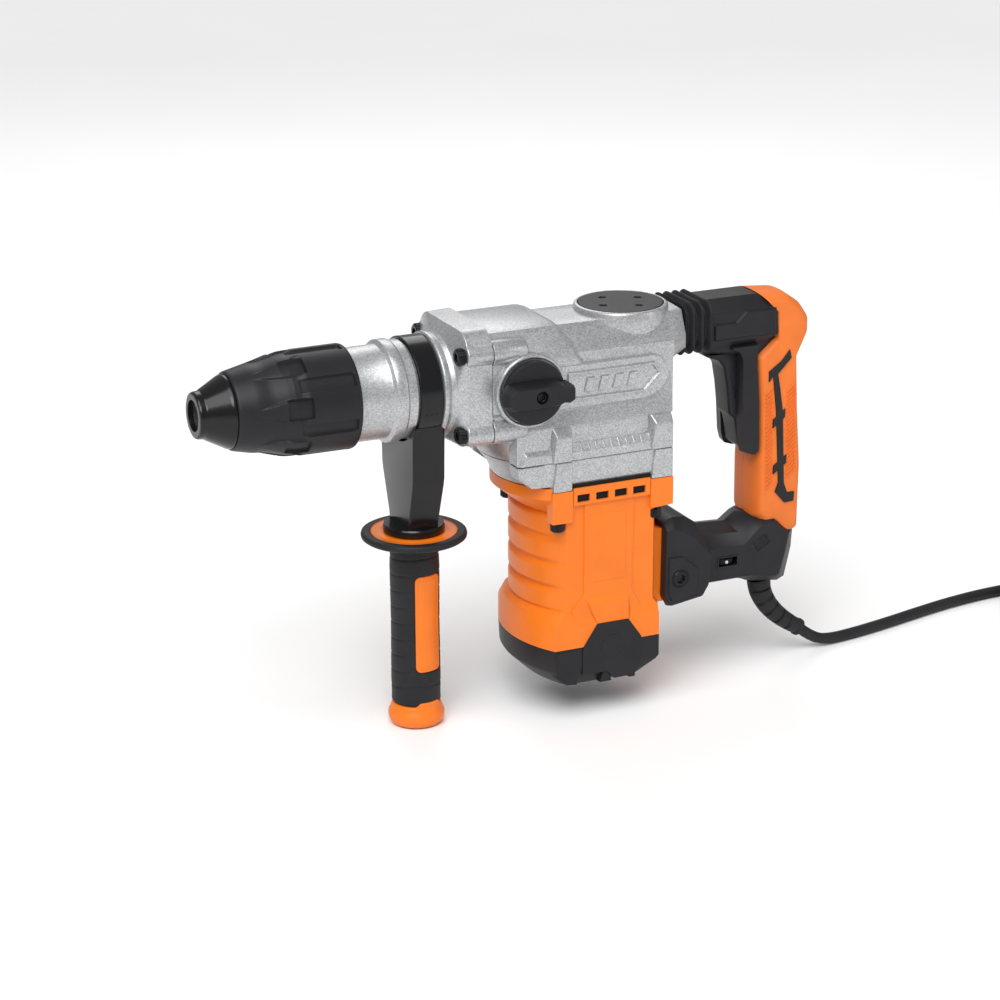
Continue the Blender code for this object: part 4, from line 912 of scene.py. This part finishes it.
HANDLE = [
    (57.3, 36), (100, 36), (120, 34), (130, 26), (136, 17), (136, 9.5),
    (127, -8), (128, -47), (131, -90), (131, -141), (128, -168),
    (123, -175), (103, -175), (98, -166), (90, -161), (52, -157),
    (52, -133), (84, -134), (103, -122), (103, -87), (105, -82),
    (103, -70), (101, -30), (97, -8), (76, -4), (57.3, -1),
]
ORANGE = [
    (99, 38), (121, 36.2), (133, 28), (139.8, 18.4), (139.8, 9.4), (130.4, -7),
    (132.6, -47), (136, -90), (135.2, -137.5), (126, -141.5), (113.5, -131),
    (103.6, -131), (97.9, -124), (97.6, -88), (98.2, -79), (99.2, -76), (98.4, -40),
    (95.4, -6), (112, 7.2), (110.6, 30),
]
GRIP_MIDDLE = (116.5, -49)


def grip_half(side):
    """Half of the rubber grip: the outline scaled about its middle by 1 - e / half its size,
    where e = 7 (1 - sqrt(1 - (y / H)^2.6)) and H is the half width."""
    half = 19.5
    share = np.sin(np.linspace(0, math.pi / 2, 16))
    outline = softened(ORANGE, 1.6, 6) - GRIP_MIDDLE
    rings = []
    for y, e in zip(np.maximum(share * half, 0.15), 7 * (1 - np.sqrt(1 - share ** 2.6))):
        scale = (1 - e / 21, 1 - e / 95)
        rings.append(across("Y", outline * scale + GRIP_MIDDLE, side * y))
    return skin(rings)


def half_body(outline, side):
    """Half of a rounded body: the outline is drawn in by rim - sqrt(rim^2 - d^2), where d is
    how far the section has passed the start of the rounding."""
    half, rim, inner, shrink, radius = 15, 4, 0.15, 1, 5
    d = rim * np.sin(np.linspace(0, math.pi / 2, 8))
    stations = np.concatenate([[inner], half - rim + d])
    drawn = np.concatenate([[0], rim - np.sqrt(np.maximum(rim * rim - d * d, 0))])
    return skin([across("Y", softened(inset(outline, shrink + min(e, rim * 0.85)), radius, 6),
                        side * y) for y, e in zip(stations, drawn)])


def make_rear_handle():
    """D-handle: black cores, rubber shells, limb, arm, marks, yoke and trigger."""
    bay = slab([(83.5, 3), (104, 3), (110, -20), (110, -74), (102, -76.6),
                (88, -76.6)], "Y", -13.5, 13.5)
    dial_window = slab(squared(7.8, 3.6, 0.6, 24, DIAL_WINDOW), "Y", -12, -26)
    dial_room = turned([(-156, 9.4), (-148, 9.4)], "Z", 48, DIAL_CENTRE)
    for name, side in (("left", -1), ("right", 1)):
        piece(f"handle_core_{name}", [half_body(HANDLE, side)], "black_plastic", "rear_handle",
              (f"rear_handle_{name}",), cuts=[bay, dial_room], sharp=40)
        piece(f"handle_shell_{name}", [grip_half(side)], "orange_rubber", "rear_handle",
              cuts=[bay], sharp=40)
    make_limb()
    make_arm([dial_window, dial_room])
    make_grip_marks()
    make_yoke()
    make_trigger()


def make_limb():
    """Six-sided upper limb with a slanting step on each side."""
    section = np.array([(-11.5, 37.4), (11.5, 37.4), (19.6, 28.5), (19.6, 9), (13, -0.8),
                        (-13, -0.8), (-19.6, 9), (-19.6, 28.5)])
    front = section * (0.97, 1)
    z = section[:, 1]
    tip = np.select([z > 35, z > 20, z > 0], [99, 110.4, 112], 95)
    shapes = [skin([across("X", front, 57.3), across("X", section, 59), across("X", section, tip),
                    across("X", section * (0.93, 0.95) + (0, 1), tip + 1.2)])]
    step = [(61, 22), (78.4, 22.2), (85.4, 29), (108.6, 28.6), (110.4, 26), (110.4, 9.4),
            (61, 9.4)]
    shapes += both(slab(step, "Y", -18.6, -21.3, 0, 1.5))
    piece("handle_limb", shapes, "black_plastic", "rear_handle", edge=0.7, segments=3)
    wall = softened([(76, 4), (98, 4), (97.4, -8), (99.6, -40), (100.4, -74),
                     (96.4, -77.6), (88.2, -75), (86, -67), (84.6, -45), (84, -7),
                     (81.4, -1.4), (76, 0.6)], 1.6, 5)
    sides = both(slab(wall, "Y", -11.6, -19.6, 0, 1.2))
    piece("trigger_guard", sides, "black_plastic", "rear_handle", edge=0.5, segments=3)


def make_arm(dial_cuts):
    """Lower arm with facets that meet the grip in a V, and the window of the dial."""
    face = [(57.5, -140.5), (88, -140.5), (98, -131), (104, -127.5), (112, -127),
            (118, -133.5), (123.5, -137.5), (121, -150), (116.5, -166.5), (113, -167.6),
            (96, -164.8), (86, -164), (57.5, -164)]
    base = [(51.5, -131), (86.5, -133), (95.5, -126.5), (103.6, -124), (113.3, -122.8),
            (122, -131.5), (130.5, -136), (129.5, -150), (124.5, -171.5), (119, -174),
            (100, -171.5), (87, -167.5), (51.5, -167.5)]
    middle = [(51.5, -126.5), (83.5, -128.5), (91.5, -122.5), (103.6, -121.8), (113.3, -121.4),
              (126, -132), (136.5, -139.5), (134, -152), (129, -174.5), (122, -177.2),
              (102, -176.5), (88, -170), (51.5, -169)]
    shapes = [skin([across("Y", face, -22.2), across("Y", base, -15), across("Y", middle, 0),
                    across("Y", base, 15), across("Y", face, 22.2)])]
    badge = [(94, -139.4), (104.4, -134.2), (108.8, -141.6), (98, -147.6)]
    cuts = dial_cuts + both(slab(badge, "Y", -21.7, -25))
    piece("handle_arm", shapes, "black_plastic", "rear_handle", edge=0.8, cuts=cuts, segments=3)
    frame_edge = squared(8.4, 4.2, 0.8, 24, DIAL_WINDOW)
    hole = squared(7.2, 3.1, 0.5, 24, DIAL_WINDOW)
    rim = skin([across("Y", frame_edge, -22), across("Y", frame_edge, -22.7),
                across("Y", hole, -22.7), across("Y", hole, -20.9)], loop=True)
    piece("dial_frame", [rim], "gloss_black", "rear_handle", edge=0.15)
    inset_plate = slab(inset(np.array(badge), 0.8), "Y", -21.5, -22.1, 0, 0.4)
    piece("blank_badge", both(inset_plate), "black_steel", "rear_handle",
          edge=0.3)

    def notches(station, angle):
        return -0.35 * (np.cos(angle * 36) > 0.2) * band(station, -154.2, -149.8, 0.2)
    wheel = [(-154.5, 2), (-154.5, 8.2), (-153.9, 8.9), (-150.1, 8.9), (-149.5, 8.2), (-149.5, 2)]
    piece("dial_wheel", [turned(dense(wheel, 0.4), "Z", 216, DIAL_CENTRE, relief=notches)],
          "black_plastic", "speed_dial", ("speed_dial",), sharp=40)
    mark = turned([(-19, 1.15), (-20.62, 1.15)], "Y", 24, (75, -152))
    piece("dial_mark", [mark], "white_mark", "speed_dial", edge=0.1)


def make_grip_marks():
    """Black bolt-shaped stripe and fine slanting ribs on both sides of the grip."""
    bar = [(105.6, -17.4), (115.4, -10.8), (121.4, -3.6), (122.6, -9), (112.2, -19.6),
           (114.2, -30), (116.8, -47.4), (119.2, -99.5), (122.2, -107.6), (127.8, -107.6),
           (127.4, -113.9), (120.3, -114.4), (112.8, -105.8), (115.2, -99.1), (112.1, -46.9),
           (108.9, -20.2), (105.6, -24.4)]
    notch_one = [(109.6, -58.2), (109.8, -52.6), (118.8, -46), (118.6, -51.4)]
    notch_two = [(110.8, -92), (111, -86.4), (120.6, -79.8), (120.4, -85.2)]
    marks = []
    for shape, top in ((bar, -20.5), (notch_one, -20.6), (notch_two, -20.6)):
        marks += both(slab(inset(shape, -0.5), "Y", -16, top, 0, 0.3))
    piece("grip_stripe", marks, "gloss_black", "rear_handle", edge=0.2)
    ribs = []
    for low, high, rise, count in ((103, 108.6, 4.8, 24), (119.6, 127, 6.4, 22)):
        for fall in 3 * np.arange(count):
            near, far, z = low + 0.022 * fall, high + 0.022 * fall, -34.4 - fall
            ribs += both(slab([(near, z), (far, z + rise), (far, z + rise + 1.1), (near, z + 1.1)],
                              "Y", -18, -20.3, 0, 0.2))
    piece("grip_ribs", ribs, "orange_rubber", "rear_handle")


def make_yoke():
    """Fork that carries the handle on the motor, with a raised six-sided field round the bolt."""
    outline = softened([(14.4, -108.4), (22, -105.4), (31, -106), (40, -111.6), (50.2, -127),
                        (50.6, -156.4), (44, -165.6), (18.4, -169.6), (13.8, -161)], 1, 3)
    face = softened([(14.4, -112.8), (22, -112.4), (30.4, -116.6), (38, -122.6), (49, -135.6),
                     (47.8, -156), (43, -163.8), (18.4, -167.4), (13.8, -159)], 1, 3)
    body = skin([across("Y", face, -44.6), across("Y", outline, -37.5),
                 across("Y", outline, 37.5), across("Y", face, 44.6)])
    field = [(15.4, -131), (27.4, -131.6), (39.2, -142.2), (38.6, -161), (18.4, -164.8),
             (15.4, -158.4)]
    plates = both(slab(field, "Y", -41, -45.8, 0, 1))
    bay = block((5, -36.8, -180), (41, 36.8, -112))
    bore = turned([(-60, 6.6), (60, 6.6)], "Y", 48, PIVOT)
    piece("yoke", [body] + plates, "black_plastic", "rear_handle", ("handle_yoke",), edge=0.8,
          cuts=[bay, bore], segments=3)
    end = turned([(-30, 3.9), (-44.4, 3.9), (-44.4, 5.6), (-45.6, 5.6), (-46.1, 5.2),
                  (-46.1, 3.4), (-43.8, 3), (-43.8, 0.4)], "Y", 48, PIVOT)
    collar = turned([(-44, 6.4), (-45.8, 6.4), (-45.8, 5.8), (-44, 5.8)], "Y", 48, PIVOT,
                    loop=True)
    piece("pivot_bolt_ends", both(end), "black_steel", "casing", ("pivot_bolt",), edge=0.2)
    piece("pivot_collars", both(collar), "gloss_black", "rear_handle")


def make_trigger():
    """Trigger lever: its outline drawn in by 3 - sqrt(9 - d^2) towards both sides."""
    outline = softened([(60.6, -3.4), (61.6, -0.4), (70, -0.6), (88, -0.6), (94.2, -12),
                        (95.2, -40), (96, -66), (97.4, -75), (95.4, -76.6), (88, -71),
                        (85.6, -56), (84.6, -51.6), (80.4, -47.6), (78.2, -28), (75.6, -13.4),
                        (71.4, -8), (63, -5)], 1.4, 5)
    rings = []
    d = 3 * np.sin(np.linspace(0, math.pi / 2, 6))
    for side in SIDES:
        drawn = 3 - np.sqrt(np.maximum(9 - d * d, 0))
        part = [across("Y", inset(outline, min(e, 2.6)), side * (7.9 + t))
                for e, t in zip(drawn, d)]
        rings += part[::-1] if side < 0 else part
    piece("trigger_lever", [skin(rings)], "black_plastic", "trigger", ("trigger",), sharp=40)


def make_bellows():
    """Three rubber ribs: the section shrinks by 3.6 (1 - w) with w = (1 + cos) / 2."""
    x = np.linspace(37.2, 57.2, 61)
    wave = 0.5 * (1 + np.cos((x - 37.2) / 20 * TAU * 3))
    grow = 1.2 - 3.6 * (1 - wave)
    middle = (0, 20.4)
    rings = [across("X", squared(23.4 + g, 17.2 + g, 10, 80, middle), s) for s, g in zip(x, grow)]
    rings += [across("X", squared(17, 12, 7, 80, middle), s) for s in (57.2, 37.2)]
    bellows = piece("bellows_sleeve", [skin(rings, loop=True)], "black_rubber", None,
                    ("bellows",), sharp=60)
    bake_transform(bellows)


def make_strain_relief():
    """Tapered sleeve: rings of rubber with windows between them along the cord."""
    path = smooth_route([(112.5, 0, -176), (114.4, 0, -186.5), (120, 0, -197),
                         (128, 0, -206), (137, 0, -213.3), (147, 0, -220)], 0.45)

    def radius(share, angle):
        taper = 8.6 - 3 * share
        wave = (share * 6) % 1
        cut = band(wave, 0.62, 0.86, 0.06) * ramp(np.abs(np.sin(angle)), 0.25, 0.4)
        return taper - 1.3 * cut * (share > 0.12) * (share < 0.93) + 0.7 * (share > 0.955)
    sleeve = piece("strain_sleeve", [carried(path, 72, radius)], "black_rubber", None,
                   ("strain_relief",), sharp=50)
    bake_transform(sleeve)


# ------------------------------------------------------------------------------ light

def add_light(name, place, aim, size, power):
    """A square lamp at a place, turned to its aim."""
    lamp = bpy.data.lights.new(name, "AREA")
    lamp.energy, lamp.size = power, size
    holder = bpy.data.objects.new(name, lamp)
    back = unit(np.array(place) - np.array(aim))
    side = unit(np.cross((0, 0, 1), back))
    pose = np.eye(4)
    pose[:3, 0], pose[:3, 1], pose[:3, 2], pose[:3, 3] = side, np.cross(back, side), back, place
    holder.matrix_world = Matrix(pose.tolist())
    bpy.context.scene.collection.objects.link(holder)


def add_studio():
    """Pale floor and sky, three soft lamps and a wide sun."""
    scene = bpy.context.scene
    scene.view_settings.view_transform = "Standard"
    world = bpy.data.worlds.new("studio")
    world.use_nodes = True
    world.node_tree.nodes["Background"].inputs["Color"].default_value = (1, 1, 1, 1)
    world.node_tree.nodes["Background"].inputs["Strength"].default_value = 0.33
    scene.world = world
    height = (FLOOR_Z + SHIFT[2] - 0.2) * MM
    mesh = bpy.data.meshes.new("floor")
    mesh.from_pydata([(-40, -40, height), (40, -40, height), (40, 40, height), (-40, 40, height)],
                     [], [(0, 1, 2, 3)])
    mesh.materials.append(finish("floor", (0.92, 0.92, 0.92), 0.7, mottle=0.01, mottle_scale=3,
                                 grain=0.02))
    floor = bpy.data.objects.new("floor", mesh)
    scene.collection.objects.link(floor)
    add_light("key", (-0.9, -1.3, 1.5), (0, 0, 0.12), 0.9, 11)
    add_light("fill", (1.4, -1.2, 0.8), (0, 0, 0.12), 0.8, 3)
    add_light("back", (0.4, 1.4, 1.3), (0, 0, 0.15), 1, 7)
    sky = bpy.data.lights.new("overhead", "SUN")
    sky.energy, sky.angle = 2.25, math.radians(50)
    holder = bpy.data.objects.new("overhead", sky)
    holder.rotation_euler = (math.radians(24), math.radians(-22), 0)
    scene.collection.objects.link(holder)


# --------------------------------------------------------------------------- assembly

add_camera()
FINISHES = make_finishes()
NODE_SLOTS = {entry["node"]: entry["material_slot"] for entry in frame["record"]["subparts"]}
cord, cord_length = make_cord()
plug_pieces = make_plug()
make_nose()
make_front_housing()
make_gear_housing()
make_motor_housing()
make_end_cap()
make_mode_knob()
make_side_handle()
make_rear_handle()
make_bellows()
make_strain_relief()
add_studio()

for node, part in frame["nodes"].items():
    part.data.materials.clear()
    part.data.materials.append(FINISHES[NODE_SLOTS[node]])
